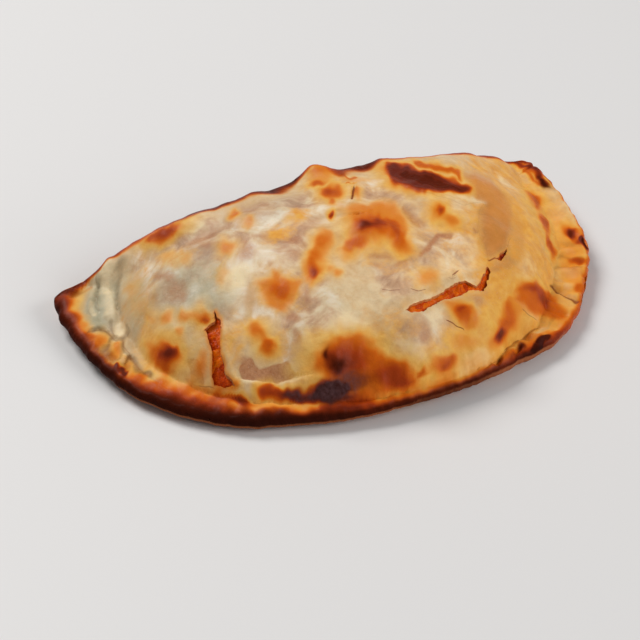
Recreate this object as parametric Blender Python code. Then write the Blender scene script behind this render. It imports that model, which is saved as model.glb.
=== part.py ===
"""A baked half-moon empanada: a hollow dough crust, fork-crimped along its curved edge, and its filling.

Run with: blender --background --python part.py

Frame: +Z up, the flat base on z = 0. X runs along the fold and Y across it, with the fold at +Y and the
crimped arc at -Y. The origin is under the middle of the whole. Sizes in this file are in millimetres and
are turned into metres when a mesh is made.
"""

import math

import bpy
import numpy as np

MM = 0.001

# ---- driving dimensions, mm ---------------------------------------------------------------------
HEIGHT = 30.0                # rest plane to the top of the belly, before its lumps
CRUST = 2.2                  # thickness of the dough round the filling
SEAL = 4.0                   # thickness of the two dough layers pressed together at the rim
FOLD_REACH = 36.0            # how far in from the fold the belly goes on rising
ARC_REACH = 46.0             # the same, in from the pressed rim
BELLY_POWER = 2.2            # how soon the belly levels off: 2 is a ball's curve, more is flatter
RIM_SINK = 0.7               # how much of that depth a form inside the crust starts below the rim
UNDERCUT = 9.0               # how far in from the edge the underside meets the plate
CRIMP_PITCH = 6.8            # one fork tine to the next
CRIMP_DEPTH = 1.2
CRIMP_FADE = 3.5             # how far a tine mark runs on into the belly
FILLING_GAP = 0.35           # clearance between crust and filling
TEAR_FLOOR = 6.0             # height down to which the tears are cut, inside the hollow
TEAR_TOP = 40.0              # height above the whole belly

CENTRE = (0.0, 5.0)          # the plan point that compass angles are taken from
CORNER_EASE = 9.0            # degrees over which the fold passes into the pressed rim
SKIN_GRID = (72, 40)         # cells along and across the outer skin
CORE_GRID = (24, 14)         # the same for the hollow and the filling
UNDERSIDE_RINGS = (0.7, 2.0, 4.0, 6.5, UNDERCUT)
LOOP_STEPS = 24              # pieces of the outline between two of its points
LEFT_TURN, RIGHT_TURN = 4, 13    # points of the arc where the grid's ends meet its front
HALVINGS = 24                # halvings of the search for the hollow's edge along a ray
HOLLOW_ROUNDING = 14         # points of the outline, each way, over which the hollow's is evened out

# The plan outline, anticlockwise: the fold from its right corner to its left, then the crimped arc.
FOLD_POINTS = [
    (79.0, 38.5), (71.0, 43.0), (50.0, 44.5), (20.0, 46.0), (-15.0, 46.5), (-50.0, 46.0), (-72.0, 43.0),
]
ARC_POINTS = [
    (-79.6, 37.8), (-80.3, 24.0), (-78.6, 7.5), (-74.0, -7.5), (-66.3, -19.8), (-55.0, -30.3),
    (-40.0, -37.2), (-26.0, -41.8), (-8.0, -44.2), (9.0, -43.8), (24.0, -41.0), (38.0, -36.8),
    (49.3, -28.8), (60.2, -17.0), (68.5, -6.0), (74.2, 8.5), (77.6, 23.0),
]

# By compass angle from CENTRE: degrees, width of the pressed rim, height of the edge's middle above the
# plate, and steepness of the belly beside it, where 0.5 stands up like a ball's side and 1 slopes.
RIM_WIDTH, EDGE_HEIGHT, BELLY_SLOPE = 1, 2, 3
ROUND_THE_EDGE = [
    (0, 9.0, 6.0, 1.0), (20, 10.0, 7.5, 1.0), (34, 0.0, 9.5, 0.74), (60, 0.0, 12.5, 0.60),
    (90, 0.0, 13.0, 0.60), (120, 0.0, 12.5, 0.60), (142, 0.0, 9.0, 0.66), (156, 16.0, 5.0, 0.80),
    (172, 12.0, 4.0, 0.84), (190, 9.0, 3.2, 0.82), (210, 6.5, 2.8, 0.78), (232, 3.6, 3.2, 0.70),
    (262, 1.8, 4.4, 0.62), (285, 2.0, 4.4, 0.62), (305, 6.5, 3.6, 0.68), (332, 9.0, 4.0, 0.76),
]

# The belly's unevenness: (wavelength, height, seed) of its ripples, then its own lumps and dents as
# (x, y, half length, half width, heading in degrees, height).
RIPPLES = [(24.0, 0.55, 3), (12.0, 0.3, 5)]
RELIEF_FADE = 4.0            # distance in from the edge over which the unevenness grows
RELIEF = [
    (1.5, 41.0, 4.0, 5.0, 0, 3.4),            # bubble on the fold
    (12.0, 39.0, 18.0, 6.0, 0, 2.0),          # the swell of the fold beside it
    (37.0, 36.0, 9.0, 8.0, 0, 1.0),           # lumps further along the fold
    (-31.0, 36.0, 14.0, 8.0, 0, 0.8),
    (-43.5, -25.5, 10.0, 3.6, -38, -1.8),     # sunken skin near the front
    (-41.0, -30.5, 13.0, 2.6, -35, 0.8),      # the lip below it
    (-66.0, 24.0, 11.0, 2.2, 72, 1.2),        # ridge of dough along the left flange
    (6.0, -24.0, 12.0, 2.2, 10, 0.9),         # lifted upper lip of the right-hand tear
    (66.0, 36.0, 6.0, 4.0, 150, 1.6),         # puckered right-hand corner
    (43.0, -11.0, 9.0, 8.0, 0, 0.9),          # blister beside the right-hand rim
]

# Tears in the crust, as plan outlines that start at their narrow ends.
TEARS = {
    "tear_left": [
        (-49.4, -4.8), (-50.4, -7.0), (-52.9, -6.6), (-53.7, -10.0), (-54.2, -13.4), (-55.5, -15.4),
        (-56.2, -18.2), (-54.2, -20.8), (-51.9, -22.4), (-52.9, -19.8), (-53.2, -18.4), (-52.6, -17.6),
        (-52.6, -14.9), (-51.8, -12.8), (-50.9, -11.2), (-49.9, -9.8), (-49.2, -7.8),
    ],
    "tear_right": [
        (-7.5, -30.3), (-6.7, -31.2), (-3.8, -31.5), (1.8, -29.4), (5.6, -28.8), (8.5, -29.1),
        (11.3, -29.0), (14.6, -28.1), (17.5, -27.5), (19.0, -26.7), (22.1, -23.5), (24.0, -21.3),
        (23.9, -19.9), (22.0, -21.8), (19.1, -24.2), (16.2, -26.6), (13.7, -25.5), (11.4, -25.7),
        (8.7, -26.2), (4.6, -27.4), (-0.5, -28.5),
    ],
    "tear_small": [
        (27.0, -17.7), (29.5, -17.9), (32.5, -16.0), (34.2, -13.9), (31.8, -15.3), (28.8, -17.0),
    ],
}


def smooth(t):
    t = np.clip(t, 0, 1)
    return t * t * (3 - 2 * t)


def quarter_round(distance_in, radius):
    """0 at the edge, rising to 1 one radius in, like a ball's side."""
    t = np.clip(distance_in / np.maximum(radius, 0.01), 0, 1)
    return np.sqrt(1 - (1 - t) ** 2)


def closed_curve(points, steps):
    """A closed Catmull-Rom curve through the points."""
    points = np.array(points)
    t = np.linspace(0, 1, steps, endpoint=False)[:, None]
    pieces = []
    for i in range(len(points)):
        a, b, c, d = (points[(i + k) % len(points)] for k in (-1, 0, 1, 2))
        bend = (c - a) * t + (2 * a - 5 * b + 4 * c - d) * t**2 + (3 * b - a - 3 * c + d) * t**3
        pieces.append(b + 0.5 * bend)
    return np.concatenate(pieces)


LOOP = closed_curve(FOLD_POINTS + ARC_POINTS, LOOP_STEPS)
ORIGIN = (LOOP.min(0) + LOOP.max(0)) / 2
ARC_START = len(FOLD_POINTS) * LOOP_STEPS
CLOSED = np.concatenate([LOOP, LOOP[:1]])
FOLD_LINE, ARC_LINE = CLOSED[:ARC_START + 1], CLOSED[ARC_START:]
LOOP_ANGLE = np.unwrap(np.arctan2(CLOSED[:, 1] - CENTRE[1], CLOSED[:, 0] - CENTRE[0]))
LOOP_RADIUS = np.hypot(CLOSED[:, 0] - CENTRE[0], CLOSED[:, 1] - CENTRE[1])
LOOP_TRAVEL = np.concatenate([[0], np.cumsum(np.hypot(*np.diff(CLOSED, axis=0).T))])


def counted(turn):
    """An angle, counted on from the start of the outline."""
    return np.mod(turn - LOOP_ANGLE[0], 2 * math.pi) + LOOP_ANGLE[0]


def edge_value(angle, column):
    """A column of ROUND_THE_EDGE at each angle, eased from one row to the next."""
    at = np.radians([row[0] for row in ROUND_THE_EDGE])
    at = np.concatenate([at, at + 2 * math.pi])
    values = np.tile([row[column] for row in ROUND_THE_EDGE], 2)
    k = np.searchsorted(at, angle, side="right") - 1
    share = smooth((angle - at[k]) / (at[k + 1] - at[k]))
    return values[k] * (1 - share) + values[k + 1] * share


def fold_share(angle):
    """1 along the fold, 0 along the arc, eased just inside the fold's corners."""
    ease = math.radians(CORNER_EASE)
    return smooth((angle - LOOP_ANGLE[0]) / ease) * smooth((LOOP_ANGLE[ARC_START] - angle) / ease)


def seal_half(angle):
    return SEAL / 2 * (1 - fold_share(angle))


def distance(x, y, line):
    """Distance from each plan point to a polyline."""
    nearest = np.full(x.shape, np.inf)
    for (ax, ay), (bx, by) in zip(line[:-1], line[1:]):
        dx, dy = bx - ax, by - ay
        t = np.clip(((x - ax) * dx + (y - ay) * dy) / (dx * dx + dy * dy), 0, 1)
        nearest = np.minimum(nearest, (x - ax - t * dx) ** 2 + (y - ay - t * dy) ** 2)
    return np.sqrt(nearest)


def ripple(x, y, wavelength, seed, waves=9):
    """Smooth seeded noise of about that wavelength, mostly between -1 and 1."""
    draw = np.random.default_rng(seed)
    total = np.zeros_like(x)
    for _ in range(waves):
        heading, shift = draw.uniform(0, 2 * math.pi, 2)
        number = 2 * math.pi / wavelength * draw.uniform(0.7, 1.35)
        total += np.sin(number * (x * math.cos(heading) + y * math.sin(heading)) + shift)
    return total / math.sqrt(waves)


def relief(x, y):
    """Height of the ripples, lumps and dents at each plan point."""
    total = sum(height * ripple(x, y, wavelength, seed) for wavelength, height, seed in RIPPLES)
    for cx, cy, length, width, heading, height in RELIEF:
        c, s = math.cos(math.radians(heading)), math.sin(math.radians(heading))
        along = ((x - cx) * c + (y - cy) * s) / length
        across = ((y - cy) * c - (x - cx) * s) / width
        total = total + height * np.exp(-along**2 - across**2)
    return total


def fork_marks(angle, inside):
    """Depth of the fork marks, by the distance in from the pressed rim: grooves between ridges."""
    travel = np.interp(angle, LOOP_ANGLE, LOOP_TRAVEL)
    marks = travel / CRIMP_PITCH + 0.18 * np.sin(travel / 9.7) + 0.12 * np.sin(travel / 4.3 + 1)
    groove = np.sin(math.pi * marks) ** 4 * (0.8 + 0.2 * np.sin(travel / 13))
    return CRIMP_DEPTH * groove * (1 - smooth(inside / CRIMP_FADE)) * (1 - fold_share(angle))


def place(x, y, depth):
    """Compass angle from CENTRE, distance to the arc, and the distances in from the edges of the form
    that lies depth inside the crust: from its fold, and from where its belly meets the pressed rim."""
    angle = counted(np.arctan2(y - CENTRE[1], x - CENTRE[0]))
    to_rim = distance(x, y, ARC_LINE)
    from_fold = distance(x, y, FOLD_LINE) - depth
    from_rim = to_rim - edge_value(angle, RIM_WIDTH) - depth
    return angle, to_rim, from_fold, from_rim


def top_height(x, y, depth=0.0):
    """Height of the upper skin at each plan point, or of the form that lies depth inside it."""
    angle, to_rim, from_fold, from_rim = place(x, y, depth)
    behind = quarter_round(from_fold, FOLD_REACH - depth)
    climb = np.clip(from_rim / (ARC_REACH - depth), 0, 1)
    ahead = (1 - (1 - climb) ** BELLY_POWER) ** edge_value(angle, BELLY_SLOPE)
    half = seal_half(angle)
    height = edge_value(angle, EDGE_HEIGHT) + half * quarter_round(to_rim, half)
    height = height - depth * RIM_SINK * (1 - fold_share(angle))
    height = height + (HEIGHT - depth - height) * behind * ahead
    height = height + relief(x, y) * smooth(np.minimum(from_fold, to_rim - depth) / RELIEF_FADE)
    if depth == 0:
        height = height - fork_marks(angle, from_rim) * smooth(to_rim / (SEAL / 2))
    return height


def bottom_height(inset, angle):
    """Height of the underside that far in from the edge, along the ray to CENTRE."""
    middle, half, share = edge_value(angle, EDGE_HEIGHT), seal_half(angle), fold_share(angle)
    tucked = middle * (1 - quarter_round(inset, UNDERCUT))
    lifted = (middle - half * quarter_round(inset, half)) * (1 - smooth(inset / UNDERCUT))
    return share * tucked + (1 - share) * lifted


def side(loop, start, end, cells):
    """Evenly spaced points along a closed outline, from one of its points on to another."""
    stretch = np.concatenate([loop, loop[:1]])[start:end + 1]
    travel = np.concatenate([[0], np.cumsum(np.hypot(*np.diff(stretch, axis=0).T))])
    at = np.linspace(0, travel[-1], cells + 1)
    return np.stack([np.interp(at, travel, stretch[:, 0]), np.interp(at, travel, stretch[:, 1])], 1)


def patch(loop, cells):
    """A grid of plan points that fills an outline, with the rows crowded towards the fold.

    Its four sides are the fold, the two ends and the front. Gives x, y, faces and the rim's indices.
    """
    nx, ny = cells
    left_turn, right_turn = ARC_START + LEFT_TURN * LOOP_STEPS, ARC_START + RIGHT_TURN * LOOP_STEPS
    fold = side(loop, 0, ARC_START, nx)[::-1][None]
    left = side(loop, ARC_START, left_turn, ny)[::-1][:, None]
    front = side(loop, left_turn, right_turn, nx)[None]
    right = side(loop, right_turn, len(loop), ny)[:, None]
    s = np.linspace(0, 1, nx + 1)[None, :, None]
    t = np.sin(np.linspace(0, math.pi / 2, ny + 1))[:, None, None]
    points = (1 - t) * front + t * fold
    points = points + (1 - s) * (left - (1 - t) * left[0] - t * left[-1])
    points = points + s * (right - (1 - t) * right[0] - t * right[-1])
    row = nx + 1
    faces = [(j * row + i, j * row + i + 1, (j + 1) * row + i + 1, (j + 1) * row + i)
             for j in range(ny) for i in range(nx)]
    rim = list(range(nx)) + [j * row + nx for j in range(ny)]
    rim += [ny * row + i for i in range(nx, 0, -1)] + [j * row for j in range(ny, 0, -1)]
    return points[..., 0].ravel(), points[..., 1].ravel(), faces, rim


def hollow_loop():
    """Plan outline of the hollow: at least one crust thickness in from the fold and the pressed rim,
    and rounded off in the fold's corners."""
    angle = LOOP_ANGLE[:-1]
    near, far = np.zeros_like(angle), LOOP_RADIUS[:-1]
    for _ in range(HALVINGS):
        middle = (near + far) / 2
        _, _, from_fold, from_rim = place(CENTRE[0] + middle * np.cos(angle),
                                          CENTRE[1] + middle * np.sin(angle), CRUST)
        inside = np.minimum(from_fold, from_rim) > 0
        near, far = np.where(inside, middle, near), np.where(inside, far, middle)
    window = range(-HOLLOW_ROUNDING, HOLLOW_ROUNDING + 1)
    near = np.min([np.roll(near, k) for k in window], axis=0)
    near = np.mean([np.roll(near, k) for k in window], axis=0)
    return np.stack([CENTRE[0] + near * np.cos(angle), CENTRE[1] + near * np.sin(angle)], 1)


def outer_skin():
    """The outer form as one closed mesh: gridded top, rings round the underside, flat base."""
    x, y, faces, rim = patch(LOOP, SKIN_GRID)
    points = list(zip(x, y, top_height(x, y)))
    edge_x, edge_y = x[rim], y[rim]
    angle = counted(np.arctan2(edge_y - CENTRE[1], edge_x - CENTRE[0]))
    ring = rim
    for inset in UNDERSIDE_RINGS:
        start = len(points)
        points += zip(edge_x - inset * np.cos(angle), edge_y - inset * np.sin(angle),
                      bottom_height(inset, angle))
        lower = list(range(start, start + len(rim)))
        for k in range(len(rim)):
            following = (k + 1) % len(rim)
            faces.append((ring[following], ring[k], lower[k], lower[following]))
        ring = lower
    faces.append(tuple(reversed(ring)))
    return points, faces


def hollow_form():
    """The hollow inside the crust, which the filling takes up: a roof and a floor that meet in an edge."""
    x, y, faces, rim = patch(hollow_loop(), CORE_GRID)
    roof = top_height(x, y, CRUST)
    angle, _, from_fold, from_rim = place(x, y, CRUST)
    meeting = edge_value(angle, EDGE_HEIGHT) + seal_half(angle) - CRUST * RIM_SINK * (1 - fold_share(angle))
    sink = quarter_round(np.minimum(from_fold, from_rim), UNDERCUT - CRUST)
    floor = CRUST + (meeting - CRUST) * (1 - sink)
    roof[rim] = (roof[rim] + floor[rim]) / 2
    points = list(zip(x, y, roof))
    below = {k: k for k in rim}
    for k in range(len(x)):
        if k not in below:
            below[k] = len(points)
            points.append((x[k], y[k], floor[k]))
    faces = faces + [tuple(below[k] for k in reversed(face)) for face in faces]
    halves = [(a, b, c) for a, b, c, d in faces] + [(a, c, d) for a, b, c, d in faces]
    return points, halves


def prism(outline, low, high):
    """A plan outline, anticlockwise, drawn up from one height to another."""
    count = len(outline)
    points = [(x, y, low) for x, y in outline] + [(x, y, high) for x, y in outline]
    faces = [tuple(range(count - 1, -1, -1)), tuple(range(count, 2 * count))]
    faces += [(k, (k + 1) % count, (k + 1) % count + count, k + count) for k in range(count)]
    return points, faces


def baked(name, colour, roughness):
    material = bpy.data.materials.new(name)
    material.use_nodes = True
    shader = material.node_tree.nodes["Principled BSDF"]
    shader.inputs["Base Color"].default_value = (*colour, 1)
    shader.inputs["Roughness"].default_value = roughness
    shader.inputs["Metallic"].default_value = 0.0
    return material


def add_object(name, points, faces):
    """A mesh object from points in millimetres, with the origin moved under the middle."""
    mesh = bpy.data.meshes.new(name)
    placed = [((x - ORIGIN[0]) * MM, (y - ORIGIN[1]) * MM, z * MM) for x, y, z in points]
    mesh.from_pydata(placed, [], faces)
    mesh.shade_smooth()
    thing = bpy.data.objects.new(name, mesh)
    bpy.context.collection.objects.link(thing)
    return thing


def cut(target, cutter):
    """Takes the cutter's shape out of the target, and leaves the cutter as a guide."""
    cutter.hide_render = True
    cutter.display_type = "WIRE"
    modifier = target.modifiers.new(cutter.name, "BOOLEAN")
    modifier.operation = "DIFFERENCE"
    modifier.solver = "EXACT"
    modifier.object = cutter


def main():
    for thing in list(bpy.data.objects):
        bpy.data.objects.remove(thing, do_unlink=True)

    crust = add_object("crust", *outer_skin())
    crust.data.materials.append(baked("crust", (0.62, 0.40, 0.20), 0.45))
    cut(crust, add_object("hollow", *hollow_form()))
    for name, outline in TEARS.items():
        cut(crust, add_object(name, *prism(outline, TEAR_FLOOR, TEAR_TOP)))

    filling = add_object("filling", *hollow_form())
    filling.data.materials.append(baked("filling", (0.55, 0.16, 0.03), 0.4))
    clearance = filling.modifiers.new("clearance", "DISPLACE")
    clearance.mid_level = 0.0
    clearance.strength = -FILLING_GAP * MM


main()
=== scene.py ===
"""Looks of the baked empanada: its crust and filling in full detail, with a plain floor, light and camera.

Shapes are in millimetres in the part's plan frame: X along the fold, Y across it with the crimped arc at -Y,
Z up from the plate. add_mesh moves the origin under the middle and turns millimetres into metres.
"""

import math

import bpy
import numpy as np
from mathutils import Matrix, Vector


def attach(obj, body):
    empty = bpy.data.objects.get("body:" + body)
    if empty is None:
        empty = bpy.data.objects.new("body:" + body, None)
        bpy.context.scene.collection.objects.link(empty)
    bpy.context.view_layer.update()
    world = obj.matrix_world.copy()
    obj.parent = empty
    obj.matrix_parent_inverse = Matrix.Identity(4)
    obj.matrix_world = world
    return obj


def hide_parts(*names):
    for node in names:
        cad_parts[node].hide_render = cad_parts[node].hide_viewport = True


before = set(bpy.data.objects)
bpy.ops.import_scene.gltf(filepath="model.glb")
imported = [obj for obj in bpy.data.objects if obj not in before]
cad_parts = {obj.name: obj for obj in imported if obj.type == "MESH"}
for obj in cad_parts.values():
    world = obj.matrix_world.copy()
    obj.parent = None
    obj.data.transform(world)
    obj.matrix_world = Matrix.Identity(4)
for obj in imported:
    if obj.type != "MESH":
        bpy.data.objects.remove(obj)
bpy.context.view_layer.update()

MM = 0.001

# ---- the form, as in the part's source, mm ------------------------------------------------------
HEIGHT = 30.0                # rest plane to the top of the belly, before its lumps
CRUST = 2.2                  # thickness of the dough round the filling
SEAL = 4.0                   # thickness of the two dough layers pressed together at the rim
FOLD_REACH = 36.0            # how far in from the fold the belly goes on rising
ARC_REACH = 46.0             # the same, in from the pressed rim
BELLY_POWER = 2.2            # how soon the belly levels off
RIM_SINK = 0.7               # how much of its depth a form inside the crust starts below the rim
UNDERCUT = 9.0               # how far in from the edge the underside meets the plate
CRIMP_PITCH = 6.8            # one fork tine to the next
CRIMP_FADE = 3.5             # how far a tine mark runs on into the belly
FILLING_GAP = 0.35           # clearance between crust and filling
CENTRE = (0.0, 5.0)          # the plan point that compass angles are taken from
CORNER_EASE = 9.0            # degrees over which the fold passes into the pressed rim
LEFT_TURN, RIGHT_TURN = 4, 13    # points of the arc where the grid's ends meet its front
HALVINGS = 24                # halvings of the search for the hollow's edge along a ray

FOLD_POINTS = [
    (79.0, 38.5), (71.0, 43.0), (50.0, 44.5), (20.0, 46.0), (-15.0, 46.5), (-50.0, 46.0), (-72.0, 43.0),
]
ARC_POINTS = [
    (-79.6, 37.8), (-80.3, 24.0), (-78.6, 7.5), (-74.0, -7.5), (-66.3, -19.8), (-55.0, -30.3),
    (-40.0, -37.2), (-26.0, -41.8), (-8.0, -44.2), (9.0, -43.8), (24.0, -41.0), (38.0, -36.8),
    (49.3, -28.8), (60.2, -17.0), (68.5, -6.0), (74.2, 8.5), (77.6, 23.0),
]

# By compass angle from CENTRE: degrees, width of the pressed rim, height of the edge's middle above the
# plate, and steepness of the belly beside it, where 0.5 stands up like a ball's side and 1 slopes.
RIM_WIDTH, EDGE_HEIGHT, BELLY_SLOPE = 1, 2, 3
ROUND_THE_EDGE = [
    (0, 9.0, 6.0, 1.0), (20, 10.0, 7.5, 1.0), (34, 0.0, 9.5, 0.74), (60, 0.0, 12.5, 0.60),
    (90, 0.0, 13.0, 0.60), (120, 0.0, 12.5, 0.60), (142, 0.0, 9.0, 0.66), (156, 16.0, 5.0, 0.80),
    (172, 12.0, 4.0, 0.84), (190, 9.0, 3.2, 0.82), (210, 6.5, 2.8, 0.78), (232, 3.6, 3.2, 0.70),
    (262, 1.8, 4.4, 0.62), (285, 2.0, 4.4, 0.62), (305, 6.5, 3.6, 0.68), (332, 9.0, 4.0, 0.76),
]

RIPPLES = [(24.0, 0.55, 3), (12.0, 0.3, 5)]      # wavelength, height, seed
RELIEF_FADE = 4.0            # distance in from the edge over which the unevenness grows
RELIEF = [                   # x, y, half length, half width, heading in degrees, height
    (1.5, 41.0, 4.0, 5.0, 0, 3.4),            # bubble on the fold
    (12.0, 39.0, 18.0, 6.0, 0, 2.0),          # the swell of the fold beside it
    (37.0, 36.0, 9.0, 8.0, 0, 1.0),           # lumps further along the fold
    (-31.0, 36.0, 14.0, 8.0, 0, 0.8),
    (-43.5, -25.5, 10.0, 3.6, -38, -1.8),     # sunken skin near the front
    (-41.0, -30.5, 13.0, 2.6, -35, 0.8),      # the lip below it
    (-66.0, 24.0, 11.0, 2.2, 72, 1.2),        # ridge of dough along the left flange
    (6.0, -24.0, 12.0, 2.2, 10, 0.9),         # lifted upper lip of the right-hand tear
    (66.0, 36.0, 6.0, 4.0, 150, 1.6),         # puckered right-hand corner
    (43.0, -11.0, 9.0, 8.0, 0, 0.9),          # blister beside the right-hand rim
]

# Tears in the crust, as plan outlines that start at their narrow ends.
TEARS = {
    "tear_left": [
        (-49.4, -4.8), (-50.4, -7.0), (-52.9, -6.6), (-53.7, -10.0), (-54.2, -13.4), (-55.5, -15.4),
        (-56.2, -18.2), (-54.2, -20.8), (-51.9, -22.4), (-52.9, -19.8), (-53.2, -18.4), (-52.6, -17.6),
        (-52.6, -14.9), (-51.8, -12.8), (-50.9, -11.2), (-49.9, -9.8), (-49.2, -7.8),
    ],
    "tear_right": [
        (-7.5, -30.3), (-6.7, -31.2), (-3.8, -31.5), (1.8, -29.4), (5.6, -28.8), (8.5, -29.1), (11.3, -29.0),
        (14.6, -28.1), (17.5, -27.5), (19.0, -26.7), (22.1, -23.5), (24.0, -21.3), (23.9, -19.9),
        (22.0, -21.8), (19.1, -24.2), (16.2, -26.6), (13.7, -25.5), (11.4, -25.7), (8.7, -26.2),
        (4.6, -27.4), (-0.5, -28.5),
    ],
    "tear_small": [
        (27.0, -17.7), (29.5, -17.9), (32.5, -16.0), (34.2, -13.9), (31.8, -15.3), (28.8, -17.0),
    ],
}

# ---- what the looks add to the form, mm ---------------------------------------------------------
SKIN_GRID = (304, 200)       # cells along and across the crust's upper skin
HOLLOW_GRID = (110, 66)      # the same for the hollow
FILLING_GRID = (190, 120)    # the same for the filling
LOOP_STEPS = 60              # pieces of the outline between two of its points
FOLD_THINNED, ARC_THINNED = 3, 2         # every how many of them count for distances to the outline
MIDDLE_HALF = 2.0            # half width of the strip in the middle whose profile spaces the rows
PROFILE_STEPS = 400          # points of that profile
HOLLOW_ROUNDING = 36         # points of the outline, each way, over which the hollow's is evened out
HOLLOW_REACHES = [(205.0, 6.5, 4.2)]     # where the hollow comes closer to the rim: turn, spread, reach
HOLLOW_FADE = 2.0            # how far in from its edge the hollow has its full height
LEAST_HOLLOW = 0.2           # its least height there
UNDERSIDE_RINGS = (0.25, 0.6, 1.1, 1.8, 2.8, 4.0, 5.5, 7.2, UNDERCUT)    # how far in each ring lies
COARSE_RINGS = (10.2, 11.6)  # the same, each with half the points of the one before
BASE_INSET = 13.5            # how far in the base's own grid starts
BASE_COARSER = 4             # how many times coarser than the skin's that grid is
BASE_THINNED = 12            # every how many points of the outline count for the base's fade
BASE_FADE = 3.0              # how far in from the grid's edge the base grows uneven
BASE_LIFT = 0.12             # how uneven it is
FINE_WAVES = 24              # waves in the finer noises
SCALLOP = 0.8                # how far the edge stands out between two tine marks
RAGGED = [(7.0, 0.18, 31), (2.6, 0.08, 32)]      # the baked edge's waver: wavelength, size, seed
CRIMP_DEPTH = 1.5            # depth of the deepest fork mark
GRAIN = [(6.0, 0.10, 21), (3.0, 0.04, 22), (1.6, 0.015, 23)]     # fine unevenness of the skin, the same
GRAIN_FADE = 1.5             # distance in from the edge over which that unevenness grows
BLISTER_RISE = 0.25          # how far toasted dough puffs up
BLISTER_GRAIN = 0.4          # how much rougher it is
CREASE_SCALE = 0.8           # share of the fine ridges' and creases' heights that is used
SKIN_FACING = (0.2, 0.3)     # how far past edge on the skin still faces the traced plane, and its ease
THIN_CRUST = 0.45            # thickness of the dough at the tears
THIN_FROM = 0.5              # how far from a tear the dough starts to thicken
THINNING = 5.0               # over how far it thickens
TEAR_STEP = 0.35             # how finely a torn edge wavers
TEAR_WAVER = [(3.2, 0.14), (1.3, 0.07)]          # wavelength and size of that waver
TEAR_SEED = 81               # of the first tear, and one more for each other
TEAR_FLOOR, TEAR_TOP = 5.0, 40.0         # heights between which the tears are cut
FILLING_RISE = 0.15          # how much closer to the dough the filling lies than in the plain solid
MINCE = [(5.0, 0.2, 71, 16), (2.4, 0.2, 72, 20), (1.3, 0.1, 73, 20)]     # wavelength, size, seed, waves
MINCE_DROP = 0.1             # how far below the dough the mince lies on average
MINCE_RANGE = (-0.1, 0.8)    # the least and the most that it does
SHARP = 50                   # degrees between faces from which an edge is sharp
# How deep the fork's marks are, as a share, by compass angle in degrees
CRIMP_STRENGTH = [
    (20, 0.35), (142, 0.2), (156, 0.1), (190, 0.1), (205, 0.18), (225, 0.15), (240, 0.06), (285, 0.04),
    (299, 0.25), (306, 0.7), (318, 0.6), (335, 0.5), (350, 0.45),
]

# ---- the painting -------------------------------------------------------------------------------
CHANNELS = ("TOAST", "CHAR", "GOLD", "LILAC", "CREAM", "COOL", "MARBLE", "SMOOTH", "SHADE", "ASH")
PATCH_STEPS = 4              # how finely a patch's outline is rounded
HALO = 1.75                  # how far toasting's golden halo reaches, in spot sizes
PAINT_WAVER = [(8.0, 0.50, 41), (3.2, 0.22, 43)]         # wavelength, shift, seed
SPOT_FALL = 0.60             # how soon a spot fades from its middle
SPOT_EDGE = 2.6              # how crisp its edge is
PAINT_FACING = (0.25, 0.30)  # as SKIN_FACING, for the paint
CRACK_WAVER = [(3.4, 0.08, 47)]
CRACK_REACH = 9.0            # half widths from a crack where its groove is surely over
CRACK_FADE = 3.0             # half widths over which, and from which, it fades
CRACK_END = 0.9              # how far it runs on past its ends
BASE_TOAST, BASE_TOP = 0.55, 3.0         # how brown the base is, and twice how far up
CONTACT_TOAST = 0.6          # how brown the ring is where the crust touches the plate
CONTACT_HEIGHT, CONTACT_SPREAD = 0.8, 2.2
CONTACT_INSET = 3.0          # how far in from the edge that ring starts
BURNT_REACH = 0.55           # how far in black reaches, as a share of brown's reach
BEND_FROM, BEND_EASE = 22.0, 6.0         # how far back the fold's bend starts, and over how far
UNDER_RIM = 3.5              # how far in under the rim its browning shows
LAYER_EASE = 0.2             # over what change in slope the lower layer comes out
STRIP = 0.3                  # width of the strips in which the outline's top is found
HIDDEN_GOLD = 0.75           # how golden the sides are that face away
HIDDEN_FROM = 0.6            # how far a point has to face away to carry one of the seeded spots there
HIDDEN_STRETCH = (0.75, 1.3)             # range of those spots' stretch in each direction
# Those spots: seed, number of them, and ranges of their sizes and strengths
HIDDEN_TOAST = (53, 110, (1.6, 5.5), (0.3, 0.85))
HIDDEN_CHAR = (54, 16, (1.0, 3.0), (0.3, 0.8))
HIDDEN_CREAM = (55, 24, (2.5, 6.0), (0.3, 0.6))
# By compass angle: degrees, how brown and how black the edge is seen from below and behind, and how far in
BROWNED_BELOW = [
    (0, 0.60, 0.05, 6.0), (25, 0.66, 0.15, 6.0), (45, 0.75, 0.30, 5.0), (90, 0.80, 0.35, 4.0),
    (130, 0.75, 0.25, 4.0), (155, 0.60, 0.10, 6.0), (178, 0.75, 0.50, 7.0), (200, 0.90, 0.95, 8.0),
    (240, 0.95, 1.00, 8.0), (270, 0.95, 0.90, 7.0), (300, 0.90, 0.75, 7.0), (312, 0.85, 0.60, 7.0),
    (322, 0.70, 0.15, 6.0), (340, 0.60, 0.05, 6.0),
]
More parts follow.
